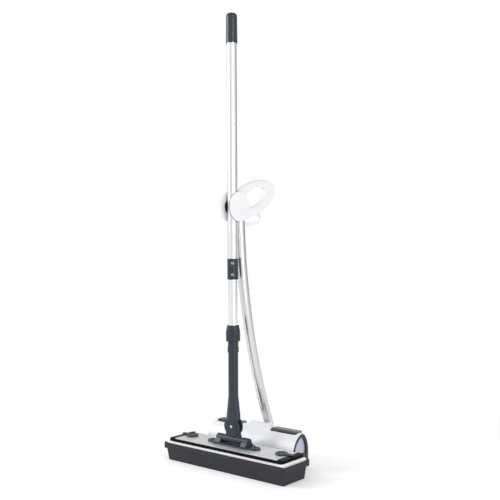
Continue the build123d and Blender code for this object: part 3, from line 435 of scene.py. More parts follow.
FINISHES: tuple[Finish, ...] = (
    Finish("tray_plastic", Grain.MOULDED, colour=(0.035, 0.036, 0.043), shade=(0.028, 0.029, 0.035),
           roughness=0.50, scale=1500.0, relief=0.3, specular=0.2, rubbed=(0.055, 0.055, 0.062),
           rubbed_amount=0.25),
    Finish("pad_cloth", Grain.PILE, colour=(0.97, 0.97, 0.97), shade=(0.93, 0.93, 0.94), roughness=0.92,
           scale=650.0, relief=0.4, relief_depth=0.0004, sheen=0.4, specular=0.2),
    Finish("pad_cloth", Grain.DRAWN, colour=(0.90, 0.90, 0.91), shade=(0.82, 0.82, 0.84), roughness=0.8,
           relief=0.2, specular=0.2, variant="pad_thread"),
    Finish("black_plastic", Grain.MOULDED, colour=(0.008, 0.008, 0.009), shade=(0.006, 0.006, 0.007),
           roughness=0.45, scale=1300.0, relief=0.25, specular=0.25, rubbed=(0.02, 0.02, 0.022),
           rubbed_amount=0.2),
    Finish("black_plastic", Grain.MOULDED, colour=(0.004, 0.004, 0.005), shade=(0.003, 0.003, 0.004),
           roughness=0.55, scale=1300.0, relief=0.25, specular=0.08, variant="frame_black"),
    Finish("steel_sheet", Grain.DRAWN, colour=(0.90, 0.90, 0.91), shade=(0.78, 0.78, 0.79),
           roughness=0.38, wander=0.10, relief=0.10, relief_depth=0.00005, along=Along.X, metallic=0.66),
    Finish("steel_pin", Grain.DRAWN, colour=(0.66, 0.66, 0.67), shade=(0.54, 0.54, 0.55), roughness=0.28,
           scale=1200.0, relief=0.06, relief_depth=0.00005, metallic=1.0),
    Finish("steel_pin", Grain.DRAWN, colour=(0.36, 0.36, 0.37), shade=(0.28, 0.28, 0.29), roughness=0.24,
           scale=1200.0, relief=0.04, relief_depth=0.00005, metallic=1.0, variant="rivet_steel"),
    Finish("dark_steel", Grain.DRAWN, colour=(0.070, 0.074, 0.080), shade=(0.050, 0.054, 0.060),
           roughness=0.36, scale=1200.0, relief=0.06, relief_depth=0.00005, metallic=0.8),
    Finish("slate_plastic", Grain.MOULDED, colour=(0.035, 0.048, 0.060), shade=(0.029, 0.040, 0.051),
           roughness=0.30, scale=1200.0, relief=0.12, specular=0.24, rubbed=(0.055, 0.066, 0.078),
           rubbed_amount=0.15),
    Finish("slate_plastic", Grain.MOULDED, colour=(0.027, 0.038, 0.049), shade=(0.022, 0.032, 0.041),
           roughness=0.24, scale=1200.0, relief=0.08, specular=0.40, variant="grip_slate"),
    Finish("aluminium_tube", Grain.DRAWN, colour=(0.90, 0.90, 0.905), shade=(0.84, 0.84, 0.845),
           roughness=0.20, wander=0.03, scale=420.0, relief=0.02, relief_depth=0.00003, along=Along.Z,
           metallic=1.0),
    Finish("aluminium_tube", Grain.DRAWN, colour=(0.69, 0.69, 0.70), shade=(0.65, 0.65, 0.66),
           roughness=0.29, wander=0.02, scale=420.0, relief=0.0, relief_depth=0.00003, along=Along.Z,
           metallic=1.0, variant="stick_satin"),
    Finish("white_plastic", Grain.MOULDED, colour=(0.85, 0.855, 0.875), shade=(0.825, 0.83, 0.85),
           roughness=0.32, relief=0.05, coat=0.12, specular=0.4),
    Finish("white_plastic", Grain.MOULDED, colour=(0.86, 0.86, 0.875), shade=(0.835, 0.835, 0.85),
           roughness=0.32, relief=0.04, coat=0.12, specular=0.4, variant="handle_white"),
    Finish("lining_rubber", Grain.MOULDED, colour=(0.020, 0.020, 0.022), shade=(0.014, 0.014, 0.016),
           roughness=0.75, scale=1600.0, relief=0.4),
    Finish("smoke_plastic", Grain.MOULDED, colour=(0.030, 0.032, 0.035), shade=(0.024, 0.026, 0.029),
           roughness=0.18, scale=500.0, relief=0.03, coat=0.35, specular=0.4),
    Finish("window_plastic", Grain.MOULDED, colour=(0.66, 0.74, 0.82), shade=(0.58, 0.66, 0.74),
           roughness=0.12, scale=300.0, relief=0.03, coat=0.4, transmission=0.25),
    Finish("tyre_rubber", Grain.MOULDED, colour=(0.020, 0.020, 0.021), shade=(0.014, 0.014, 0.015),
           roughness=0.80, scale=1700.0, relief=0.45, rubbed=(0.06, 0.058, 0.055), rubbed_amount=0.3),
    Finish("grey_plastic", Grain.MOULDED, colour=(0.26, 0.27, 0.28), shade=(0.21, 0.22, 0.23),
           roughness=0.48, scale=1200.0, relief=0.2),
    Finish("bristle", Grain.DRAWN, colour=(0.070, 0.072, 0.078), shade=(0.035, 0.036, 0.040),
           roughness=0.55, scale=800.0, relief=0.1),
)


class Recipe(Group):
    """A geometry node tree with named inputs that repeats one small shape."""

    def __init__(self, name: str, sizes: dict[str, Size]) -> None:
        """Make the tree with its inputs.

        Args:
            name: Name of the tree.
            sizes: Named inputs with their usual values.
        """
        self.sizes = sizes
        kinds = {label: self.kind_of(value) for label, value in sizes.items()}
        ends = {"Shape": "NodeSocketObject", "Finish": "NodeSocketMaterial"}
        super().__init__(
            name, "GeometryNodeTree", {"Places": GEOMETRY, **kinds, **ends}, {"Pieces": GEOMETRY})

    @staticmethod
    def kind_of(value: Size) -> str:
        """Choose the socket type that holds a value.

        Args:
            value: Usual value of an input.

        Returns:
            The type of its socket.
        """
        if isinstance(value, tuple):
            return VECTOR
        return "NodeSocketInt" if isinstance(value, int) else FLOAT

    def vector(self, x: Socket | float, y: Socket | float, z: Socket | float) -> Socket:
        """Return a vector of three numbers."""
        return self.node("ShaderNodeCombineXYZ", {"X": x, "Y": y, "Z": z}).outputs[0]

    def index(self) -> Socket:
        """Return the number of each point."""
        return self.node("GeometryNodeInputIndex", {}).outputs[0]

    def place(self) -> dict[str, Socket]:
        """Return the coordinates of each point, by axis."""
        spot = self.node("GeometryNodeInputPosition", {}).outputs[0]
        return dict(self.node("ShaderNodeSeparateXYZ", {"Vector": spot}).outputs.items())

    def fibre(self, root: float, tip: float) -> Socket:
        """Make a slim closed fibre with three sides, as long as the input Length.

        Args:
            root: Radius at its root.
            tip: Radius at its tip.

        Returns:
            Socket with its mesh.
        """
        return self.node("GeometryNodeMeshCone", {
            "Vertices": 3, "Radius Top": tip, "Radius Bottom": root, "Depth": self.value("Length")},
            fill_type="NGON").outputs["Mesh"]

    def repeat(self, points: Socket, shape: Socket, turn: Socket) -> Socket:
        """Return a shape set on every point, turned."""
        return self.node("GeometryNodeInstanceOnPoints", {
            "Points": points, "Instance": shape, "Rotation": turn}).outputs[0]

    def ring(self, count: Socket, turn: Socket, along: Socket | float) -> Socket:
        """Set points round an axis along X, at the input Radius from the input Centre.

        Args:
            count: Number of points.
            turn: Turn of each point about the axis, from straight up.
            along: Place of each point along the axis.

        Returns:
            Socket with the points.
        """
        radius = self.value("Radius")
        line = self.node("GeometryNodeMeshLine", {"Count": count, "Offset": (0.0, 0.0, 0.0)})
        back = self.maths("MULTIPLY", self.maths("SINE", turn), self.maths("MULTIPLY", radius, -1.0))
        up = self.maths("MULTIPLY", self.maths("COSINE", turn), radius)
        spot = self.node("ShaderNodeVectorMath", {
            0: self.vector(along, back, up), 1: self.value("Centre")}, operation="ADD")
        return self.node("GeometryNodeSetPosition", {
            "Geometry": line.outputs[0], "Position": spot.outputs[0]}).outputs[0]

    def close(self, pieces: Socket) -> Recipe:
        """Realize the pieces, give them their finish and end the tree.

        Args:
            pieces: Socket with the repeated shapes.

        Returns:
            This recipe, ready to run.
        """
        whole = self.node("GeometryNodeRealizeInstances", {"Geometry": pieces})
        done = self.node("GeometryNodeSetMaterial", {
            "Geometry": whole.outputs[0], "Material": self.value("Finish")})
        self.end({"Pieces": done.outputs[0]})
        return self

    def run(self, name: str, finish: bpy.types.Material, places: bpy.types.Mesh | None = None,
            shape: bpy.types.Object | None = None, sizes: dict[str, Size] | None = None) -> bpy.types.Mesh:
        """Evaluate the tree once.

        Args:
            name: Name of the mesh that comes out.
            finish: Its material.
            places: Mesh that the pieces are set on, where the tree takes one.
            shape: Object that is repeated, where the tree takes one.
            sizes: Values that differ from the usual ones.

        Returns:
            The new mesh.
        """
        holder = linked(name, places or bpy.data.meshes.new(name))
        modifier = holder.modifiers.new("recipe", "NODES")
        modifier.node_group = self.tree
        chosen = {**self.sizes, **(sizes or {}), "Finish": finish}
        if shape is not None:
            chosen["Shape"] = shape
        for socket in self.tree.interface.items_tree:
            if socket.in_out == "INPUT" and socket.name in chosen:
                modifier[socket.identifier] = chosen[socket.name]
        mesh = evaluated(holder, name)
        bpy.data.objects.remove(holder)
        return mesh


def fastener_recipe() -> Recipe:
    """Make the tree that sets one screw or rivet head on every place.

    Returns:
        The recipe.
    """
    recipe = Recipe("fasteners", {"Turn": (0.0, 0.0, 0.0)})
    head = recipe.node("GeometryNodeObjectInfo", {"Object": recipe.value("Shape"), "As Instance": True})
    heads = recipe.repeat(recipe.value("Places"), head.outputs["Geometry"], recipe.value("Turn"))
    return recipe.close(heads)


def bristle_recipe() -> Recipe:
    """Make the tree that plants splayed tufts in spiral rows round a brush core.

    Returns:
        The recipe.
    """
    recipe = Recipe("bristle_rows", {
        "Rows": 4, "Per Row": 20, "Span": 0.25, "Twist": math.radians(150.0), "Radius": 0.0085,
        "Length": 0.0108, "Tuft": 0.0034, "Splay": 70.0, "Centre": (0.0, 0.0, 0.0)})
    per_row, tuft, splay = (recipe.value(label) for label in ("Per Row", "Tuft", "Splay"))
    count = recipe.maths("MULTIPLY", recipe.value("Rows"), per_row)
    index = recipe.index()
    row = recipe.maths("FLOOR", recipe.maths("DIVIDE", index, per_row))
    share = recipe.maths(
        "DIVIDE", recipe.maths("MODULO", index, per_row), recipe.maths("SUBTRACT", per_row, 1.0))
    first = recipe.maths("MULTIPLY", recipe.maths("DIVIDE", row, recipe.value("Rows")), math.tau)
    turn = recipe.maths("MULTIPLY_ADD", share, recipe.value("Twist"), first)
    along = recipe.maths("MULTIPLY", recipe.maths("SUBTRACT", share, 0.5), recipe.value("Span"))
    points = recipe.ring(count, turn, along)
    roots = recipe.node("GeometryNodeMeshGrid", {
        "Size X": tuft, "Size Y": tuft, "Vertices X": 5, "Vertices Y": 5})
    root = recipe.place()
    back = recipe.maths("MULTIPLY", root["Y"], recipe.maths("MULTIPLY", splay, -1.0))
    side = recipe.maths("MULTIPLY", root["X"], splay)
    fibre = recipe.fibre(root=0.00022, tip=0.00009)
    fibres = recipe.repeat(roots.outputs["Mesh"], fibre, recipe.vector(back, side, 0.0))
    solid = recipe.node("GeometryNodeRealizeInstances", {"Geometry": fibres}).outputs[0]
    return recipe.close(recipe.repeat(points, solid, recipe.vector(turn, 0.0, 0.0)))


def tread_recipe() -> Recipe:
    """Make the tree that sets tread bars round a tyre.

    Returns:
        The recipe.
    """
    recipe = Recipe("tyre_treads", {
        "Bars": 26, "Radius": 0.0097, "Bar": (0.008, 0.0011, 0.0006), "Centre": (0.0, 0.0, 0.0)})
    bars = recipe.value("Bars")
    turn = recipe.maths("MULTIPLY", recipe.maths("DIVIDE", recipe.index(), bars), math.tau)
    points = recipe.ring(bars, turn, 0.0)
    bar = recipe.node("GeometryNodeMeshCube", {"Size": recipe.value("Bar")})
    return recipe.close(recipe.repeat(points, bar.outputs["Mesh"], recipe.vector(turn, 0.0, 0.0)))


def stitch_recipe() -> Recipe:
    """Make the tree that runs a row of stitches along a closed path.

    Returns:
        The recipe.
    """
    recipe = Recipe("stitch_run", {"Pitch": 0.0042, "Stitch": (0.0028, 0.0006, 0.0006)})
    path = recipe.node("GeometryNodeMeshToCurve", {"Mesh": recipe.value("Places")})
    even = recipe.node("GeometryNodeResampleCurve", {}, mode="LENGTH")
    recipe.fill(even.inputs["Curve"], path.outputs[0])
    recipe.fill(even.inputs["Length"], recipe.value("Pitch"))
    tangent = recipe.node("GeometryNodeInputTangent", {}).outputs[0]
    turn = recipe.node("FunctionNodeAlignRotationToVector", {"Vector": tangent}, axis="X")
    stitch = recipe.node("GeometryNodeMeshUVSphere", {"Segments": 6, "Rings": 5, "Radius": 0.5})
    sized = recipe.node("GeometryNodeTransform", {
        "Geometry": stitch.outputs["Mesh"], "Scale": recipe.value("Stitch")})
    return recipe.close(recipe.repeat(even.outputs[0], sized.outputs[0], turn.outputs[0]))


def pile_recipe() -> Recipe:
    """Make the tree that grows short leaning fibres on the open border of a pad.

    Returns:
        The recipe.
    """
    recipe = Recipe("pile_fibres", {
        "Density": 1.8e6, "Length": 0.0009, "Above": 0.0506, "Clear X": 0.2092, "Clear Y": 0.0512,
        "Lean": 0.8, "Seed": 7})
    lean, seed = recipe.value("Lean"), recipe.value("Seed")
    spot = recipe.place()
    past = [
        recipe.maths("GREATER_THAN", recipe.maths("ABSOLUTE", spot[axis]), recipe.value(f"Clear {axis}"))
        for axis in ("X", "Y")]
    high = recipe.maths("GREATER_THAN", spot["Z"], recipe.value("Above"))
    border = recipe.maths("MULTIPLY", recipe.maths("MAXIMUM", *past), high)
    points = recipe.node("GeometryNodeDistributePointsOnFaces", {
        "Mesh": recipe.value("Places"), "Selection": border, "Density": recipe.value("Density"),
        "Seed": seed})
    back = recipe.maths("MULTIPLY", lean, -1.0)
    chance = recipe.node("FunctionNodeRandomValue", {
        "Min": recipe.vector(back, back, 0.0), "Max": recipe.vector(lean, lean, math.tau), "Seed": seed},
        data_type="FLOAT_VECTOR")
    turn = recipe.node("FunctionNodeRotateRotation", {
        "Rotation": points.outputs["Rotation"], "Rotate By": chance.outputs[0]}, rotation_space="LOCAL")
    fibre = recipe.fibre(root=0.00014, tip=0.00006)
    return recipe.close(recipe.repeat(points.outputs["Points"], fibre, turn.outputs[0]))


def lathe(name: str, outline: Outline, steps: int, frame: Matrix | None = None) -> bpy.types.Mesh:
    """Turn a closed outline about the Z axis and set it in a frame.

    Args:
        name: Name of the mesh.
        outline: Radius and height of each corner, anticlockwise; a radius of 0 lies on the axis.
        steps: Number of facets round the axis.
        frame: Where the turned shape goes, if not at the origin.

    Returns:
        The new mesh, its faces outward.
    """
    shape = bmesh.new()
    rings: list[list[bmesh.types.BMVert]] = []
    for radius, height in outline:
        if radius <= 0.0:
            rings.append([shape.verts.new((0.0, 0.0, height))] * steps)
            continue
        turns = (math.tau * step / steps for step in range(steps))
        rings.append([
            shape.verts.new((radius * math.cos(turn), radius * math.sin(turn), height)) for turn in turns])
    closed = rings if outline[0][0] <= 0.0 else [*rings, rings[0]]
    for lower, upper in zip(closed, closed[1:]):
        for step in range(steps):
            after = (step + 1) % steps
            corner_points = dict.fromkeys((lower[step], lower[after], upper[after], upper[step]))
            if len(corner_points) > 2:
                shape.faces.new(list(corner_points))
    bmesh.ops.recalc_face_normals(shape, faces=shape.faces)
    shape.transform(frame or Matrix.Identity(4))
    return smooth(mesh_of(name, shape), SHARP_ANGLE)


class Workshop:
    """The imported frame, the finishes and the ways that every sub-assembly makes its pieces with."""

    MERGE_DISTANCE = 1e-6
    SLIVER = 2e-6
    FLAT_ANGLE = 0.3
    HEAD_STEPS = 20
    HEAD_SHARP_ANGLE = 25.0
    RECESS_SHARE = 0.24

    def __init__(self, frame: dict) -> None:
        """Keep the frame and build each finish once.

        Args:
            frame: What the loader returned.
        """
        self.nodes: dict[str, bpy.types.Object] = frame["nodes"]
        self.body_of_node: dict[str, str] = {
            node: body
            for body, members in frame["record"]["behaviour"]["bodies"].items()
            for node in members
        }
        groups = SurfaceGroups()
        self.finish = {finish.name: finish.build(groups) for finish in FINISHES}
        self.slot_of = {finish.name: finish.slot for finish in FINISHES}
        self.fasteners = fastener_recipe()
        self.pieces: list[str] = []

    def add(self, name: str, mesh: bpy.types.Mesh, body: str, finish: str) -> bpy.types.Object:
        """Link a mesh as a piece that rides on a body.

        Args:
            name: Name of the piece.
            mesh: Its mesh, already in place.
            body: Body that it moves with.
            finish: Name of its finish.

        Returns:
            The new object.
        """
        piece = linked(name, mesh)
        mesh.materials.clear()
        mesh.materials.append(self.finish[finish])
        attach(piece, body)
        self.pieces.append(name)
        return piece

    def refined_mesh(self, node: str, edge: float, sharp: float) -> bpy.types.Mesh:
        """Copy a node's mesh, merge it, round its sharp edges and smooth it.

        Args:
            node: Name of the CAD node.
            edge: Width of the rounded edges; none at 0.
            sharp: Angle in degrees from which an edge counts as sharp.

        Returns:
            The new mesh.
        """
        mesh = self.nodes[node].data.copy()
        mesh.name = f"{node}_skin"
        shell = bmesh.new()
        shell.from_mesh(mesh)
        bmesh.ops.remove_doubles(shell, verts=shell.verts, dist=self.MERGE_DISTANCE)
        if edge > 0.0:
            bmesh.ops.dissolve_limit(
                shell, angle_limit=math.radians(self.FLAT_ANGLE), verts=shell.verts, edges=shell.edges)
            rims = [
                line for line in shell.edges
                if len(line.link_faces) == 2 and line.calc_face_angle(0.0) > math.radians(sharp)
            ]
            bmesh.ops.bevel(
                shell, geom=rims, offset=edge, offset_type="OFFSET", segments=2, profile=0.5,
                affect="EDGES", clamp_overlap=True)
            bmesh.ops.dissolve_degenerate(shell, dist=self.SLIVER, edges=shell.edges)
        shell.to_mesh(mesh)
        shell.free()
        holder = linked(mesh.name, smooth(mesh, sharp))
        weigh = holder.modifiers.new("weigh", "WEIGHTED_NORMAL")
        weigh.keep_sharp = True
        weigh.mode = "FACE_AREA_WITH_ANGLE"
        skin = evaluated(holder, f"{node}_skin")
        bpy.data.objects.remove(holder)
        return skin

    def stand_in(self, node: str, mesh: bpy.types.Mesh, finish: str) -> bpy.types.Object:
        """Stand a mesh in for a CAD node, in a finish, and return the piece."""
        piece = self.add(f"{node}_skin", mesh, self.body_of_node[node], finish)
        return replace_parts(piece, node)

    def refine(self, node: str, finish: str, edge: float = 0.0, sharp: float = SHARP_ANGLE) -> None:
        """Stand a smoothed copy in for a CAD node.

        Args:
            node: Name of the CAD node.
            finish: Name of the finish of the piece.
            edge: Width of its rounded edges; none at 0.
            sharp: Angle in degrees from which an edge counts as sharp.
        """
        self.stand_in(node, self.refined_mesh(node, edge, sharp), finish)

    def fasten(self, node: str, finish: str, head: bpy.types.Mesh, places: Sequence[Triple],
               turn: Triple) -> None:
        """Stand a row of equal screw or rivet heads in for a CAD node.

        Args:
            node: Name of the CAD node.
            finish: Name of the finish.
            head: Mesh of one head, its foot at the origin and its top towards +Z.
            places: Where the feet of the heads are.
            turn: Turn of the heads about X, Y and Z.
        """
        shape = bpy.data.objects.new(f"{node}_head", head)
        seats = bpy.data.meshes.new(f"{node}_seats")
        seats.from_pydata([Vector(place) for place in places], [], [])
        mesh = self.fasteners.run(
            f"{node}_skin", self.finish[finish], places=seats, shape=shape, sizes={"Turn": turn})
        bpy.data.objects.remove(shape)
        self.stand_in(node, mesh, finish)

    def screw_head(self, name: str, radius: float, rise: float, sink: float) -> bpy.types.Mesh:
        """Make a pan head with a cross recess.

        Args:
            name: Name of the mesh.
            radius: Radius of the head.
            rise: Height of the head over its seat.
            sink: Depth of its neck below the seat.

        Returns:
            The mesh of one head, its seat at the origin.
        """
        outline = (
            (0.0, -sink), (radius * 0.9, -sink), (radius, 0.0), (radius * 0.97, rise * 0.55),
            (radius * 0.80, rise * 0.9), (radius * 0.45, rise), (0.0, rise))
        body = linked(name, lathe(name, outline, self.HEAD_STEPS))
        cross = bmesh.new()
        middle = Matrix.Translation((0.0, 0.0, rise * 0.95))
        for across, deep in ((1.0, self.RECESS_SHARE), (self.RECESS_SHARE, 1.0)):
            size = Matrix.Diagonal((radius * across, radius * deep, rise, 1.0))
            bmesh.ops.create_cube(cross, size=1.0, matrix=middle @ size)
        cutter = linked(f"{name}_recess", mesh_of(f"{name}_recess", cross))
        cut = body.modifiers.new("recess", "BOOLEAN")
        cut.object = cutter
        cut.operation = "DIFFERENCE"
        cut.solver = "EXACT"
        cut.use_self = True
        mesh = evaluated(body, name)
        for holder in (body, cutter):
            bpy.data.objects.remove(holder)
        return smooth(mesh, self.HEAD_SHARP_ANGLE)


@dataclass
class MopTray:
    """The tub that the mop stands in."""

    rim_round: float = 0.0007

    def build(self, shop: Workshop) -> None:
        """Refine the tub."""
        shop.refine("tray", "tray_plastic", edge=self.rim_round)


@dataclass
class MopPad:
    """The stuffed cleaning pad: its cover is blown up as cloth and held where its neighbours are."""

    slack: Triple = (0.0014, 0.0014, 0.0008)
    voxel: float = 0.005
    pressure: float = 4.0
    frames: int = 20
    farthest: float = 0.0022
    gap: float = 0.0003
    crown: float = 0.0010
    seam_height: float = 0.0545
    seam_corner: float = 0.006

    def build(self, shop: Workshop) -> None:
        """Make the pad, its pile and its seam.

        Args:
            shop: The workshop.
        """
        cover = self.cover(shop)
        tree = BVHTree.FromPolygons(
            [vertex.co.copy() for vertex in cover.vertices],
            [tuple(face.vertices) for face in cover.polygons])
        body = shop.body_of_node["mop_pad"]
        pile = pile_recipe().run("pad_pile", shop.finish["pad_cloth"], places=cover.copy())
        thread = stitch_recipe().run("pad_seam", shop.finish["pad_thread"], places=self.seam(tree))
        thread.shade_smooth()
        shop.stand_in("mop_pad", cover, "pad_cloth")
        shop.add("pad_pile", pile, body, "pad_cloth")
        shop.add("pad_seam", thread, body, "pad_thread")

    def cover(self, shop: Workshop) -> bpy.types.Mesh:
        """Make the cover, blown up.

        Args:
            shop: The workshop.

        Returns:
            The mesh of the cover.
        """
        low, high = corners("mop_pad")
        middle = (low + high) / 2
        shrink = [1.0 - 2.0 * slack / length for slack, length in zip(self.slack, high - low)]
        mesh = shop.nodes["mop_pad"].data.copy()
        mesh.transform(Matrix.Translation(middle) @ Matrix.Diagonal((*shrink, 1.0))
                       @ Matrix.Translation(-middle))
        holder = linked("pad_cover", mesh)
        grid = holder.modifiers.new("even", "REMESH")
        grid.mode = "VOXEL"
        grid.voxel_size = self.voxel
        holder.data = evaluated(holder, "pad_cover")
        holder.modifiers.clear()
        start = [vertex.co.copy() for vertex in holder.data.vertices]
        holder.data = self.blown(holder)
        self.hold(holder.data, start)
        round_off = holder.modifiers.new("round", "SUBSURF")
        round_off.levels = 1
        round_off.render_levels = 1
        cover = evaluated(holder, "mop_pad_skin")
        bpy.data.objects.remove(holder)
        cover.shade_smooth()
        return cover

    def blown(self, holder: bpy.types.Object) -> bpy.types.Mesh:
        """Let the pressure inside fill the cover out.

        Args:
            holder: Object with the slack cover.

        Returns:
            The cover after the last frame.
        """
        scene = bpy.context.scene
        cloth = holder.modifiers.new("cloth", "CLOTH")
        cloth.settings.use_pressure = True
        cloth.settings.uniform_pressure_force = self.pressure
        cloth.settings.effector_weights.gravity = 0.0
        cloth.settings.quality = 5
        cloth.point_cache.frame_start = 1
        cloth.point_cache.frame_end = self.frames
        for frame in range(1, self.frames + 1):
            scene.frame_set(frame)
        mesh = evaluated(holder, "pad_blown")
        holder.modifiers.clear()
        scene.frame_set(1)
        return mesh

    def hold(self, mesh: bpy.types.Mesh, start: Sequence[Vector]) -> None:
        """Cap how far the cover moved, and keep it off the tray and the frame.

        Args:
            mesh: The cover.
            start: Where its corners began.
        """
        low, high = corners("mop_pad")
        frame_low, frame_high = corners("base_frame")
        for vertex, first in zip(mesh.vertices, start):
            move = vertex.co - first
            if move.length > self.farthest:
                vertex.co = first + move * (self.farthest / move.length)
            vertex.co.x = min(max(vertex.co.x, low.x + self.gap), high.x - self.gap)
            vertex.co.y = min(max(vertex.co.y, low.y + self.gap), high.y - self.gap)
            covered = (frame_low.x - self.voxel < vertex.co.x < frame_high.x + self.voxel
                       and frame_low.y - self.voxel < vertex.co.y < frame_high.y + self.voxel)
            roof = high.z - self.gap if covered else high.z + self.crown
            vertex.co.z = min(max(vertex.co.z, low.z + self.gap), roof)

    def seam(self, tree: BVHTree) -> bpy.types.Mesh:
        """Lay the path of the seam round the pad on its cover.

        Args:
            tree: The cover, for finding the nearest point on it.

        Returns:
            The path, a closed row of edges.
        """
        low, high = corners("mop_pad")
        path: list[Vector] = []
        for quarter, (right, back) in enumerate(((1, -1), (1, 1), (-1, 1), (-1, -1))):
            centre = Vector((
                (high.x if right > 0 else low.x) - right * self.seam_corner,
                (high.y if back > 0 else low.y) - back * self.seam_corner, self.seam_height))
            for turn in quarter_turns(first=90.0 * (quarter - 1)):
                path.append(centre + self.seam_corner * Vector((math.cos(turn), math.sin(turn), 0.0)))
        fine: list[Vector] = []
        for one, two in zip(path, [*path[1:], path[0]]):
            steps = max(1, round((two - one).length / self.voxel))
            fine.extend(one.lerp(two, step / steps) for step in range(steps))
        laid = [tree.find_nearest(point)[0] for point in fine]
        mesh = bpy.data.meshes.new("pad_seam_path")
        mesh.from_pydata(laid, [(spot, (spot + 1) % len(laid)) for spot in range(len(laid))], [])
        return mesh


@dataclass
class MopHead:
    """Frame, steel plate, end caps, pad locks and the flange of the joint."""

    moulding_round: float = 0.0005
    plate_round: float = 0.0004
    screw_rise: float = 0.0024
    screw_turn: float = 20.0

    def build(self, shop: Workshop) -> None:
        """Refine the plates and the locks, and set the screws.

        Args:
            shop: The workshop.
        """
        shop.refine("base_frame", "frame_black", edge=self.moulding_round)
        shop.refine("top_plate", "steel_sheet", edge=self.plate_round)
        for side in SIDES:
            shop.refine(f"end_cap_{side}", "black_plastic", edge=self.plate_round)
            shop.refine(f"lock_knob_{side}", "slate_plastic", edge=self.moulding_round)
        shop.refine("knob_studs", "dark_steel", edge=self.plate_round)
        shop.refine("joint_base", "slate_plastic", edge=self.moulding_round)
        low, high = corners("base_screws")
        radius = (high.y - low.y) / 2
        seat = high.z - self.screw_rise
        head = shop.screw_head("base_screw_head", radius, self.screw_rise, seat - low.z)
        places = [(low.x + radius, 0.0, seat), (high.x - radius, 0.0, seat)]
        shop.fasten("base_screws", "dark_steel", head, places, (0.0, 0.0, math.radians(self.screw_turn)))
        shop.refine("tilt_pin", "dark_steel", edge=self.plate_round)


@dataclass
class UniversalJoint:
    """Yoke, arm, pivot caps and the clamping collar."""

    moulding_round: float = 0.0006
    cap_round: float = 0.0003
    arm_sharp: float = 24.0

    def build(self, shop: Workshop) -> None:
        """Refine the joint, the arm and its collar.

        Args:
            shop: The workshop.
        """
        shop.refine("yoke", "slate_plastic", edge=self.moulding_round)
        shop.refine("arm", "slate_plastic", sharp=self.arm_sharp)
        shop.refine("swing_pin", "steel_pin", edge=self.moulding_round)
        shop.refine("pivot_caps", "slate_plastic", edge=self.cap_round)
        for node in ("collet", "twist_collar"):
            shop.refine(node, "slate_plastic")


@dataclass
class Pole:
    """Telescopic tubes, their coupling and the grip."""

    wall: float = 0.0012
    lip: float = 0.0003
    tube_steps: int = 72
    rivet_facing: float = 40.0
    rivet_radius: float = 0.0042
    rivet_rise: float = 0.0010
    rivet_sink: float = 0.0007

    def build(self, shop: Workshop) -> None:
        """Turn the tubes and refine what joins them.

        Args:
            shop: The workshop.
        """
        for node in ("lower_tube", "upper_tube"):
            shop.stand_in(node, self.tube(node), "aluminium_tube")
        for node in ("tube_plug", "coupling_sleeve"):
            shop.refine(node, "slate_plastic")
        shop.refine("top_grip", "grip_slate")
        self.rivet(shop)

    def tube(self, node: str) -> bpy.types.Mesh:
        """Turn a drawn tube with broken edges, as long and as wide as its CAD node.

        Args:
            node: Name of the tube.

        Returns:
            The new mesh.
        """
        low, high = corners(node)
        outer = (high.x - low.x) / 2
        inner = outer - self.wall
        outline = (
            (inner, low.z + self.lip), (inner + self.lip, low.z), (outer - self.lip, low.z),
            (outer, low.z + self.lip), (outer, high.z - self.lip), (outer - self.lip, high.z),
            (inner + self.lip, high.z), (inner, high.z - self.lip))
        return lathe(f"{node}_skin", outline, self.tube_steps)

    def rivet(self, shop: Workshop) -> None:
        """Set the two domed rivets of the coupling.

        Args:
            shop: The workshop.
        """
        low, high = corners("sleeve_rivets")
        sleeve_low, sleeve_high = corners("coupling_sleeve")
        outer = (sleeve_high.x - sleeve_low.x) / 2
        turn = math.radians(self.rivet_facing)
        facing = Vector((math.sin(turn), -math.cos(turn), 0.0))
        radius, rise, sink = self.rivet_radius, self.rivet_rise, self.rivet_sink
        dome = (
            (0.0, -sink), (radius, -sink), (radius, 0.0), (radius * 0.86, rise * 0.62),
            (radius * 0.55, rise * 0.92), (0.0, rise))
        head = lathe("sleeve_rivet_head", dome, shop.HEAD_STEPS)
        places = [tuple(facing * outer + Vector((0.0, 0.0, height)))
                  for height in (low.z + radius, high.z - radius)]
        lean = facing.to_track_quat("Z", "Y").to_euler()
        shop.fasten("sleeve_rivets", "rivet_steel", head, places, tuple(lean))


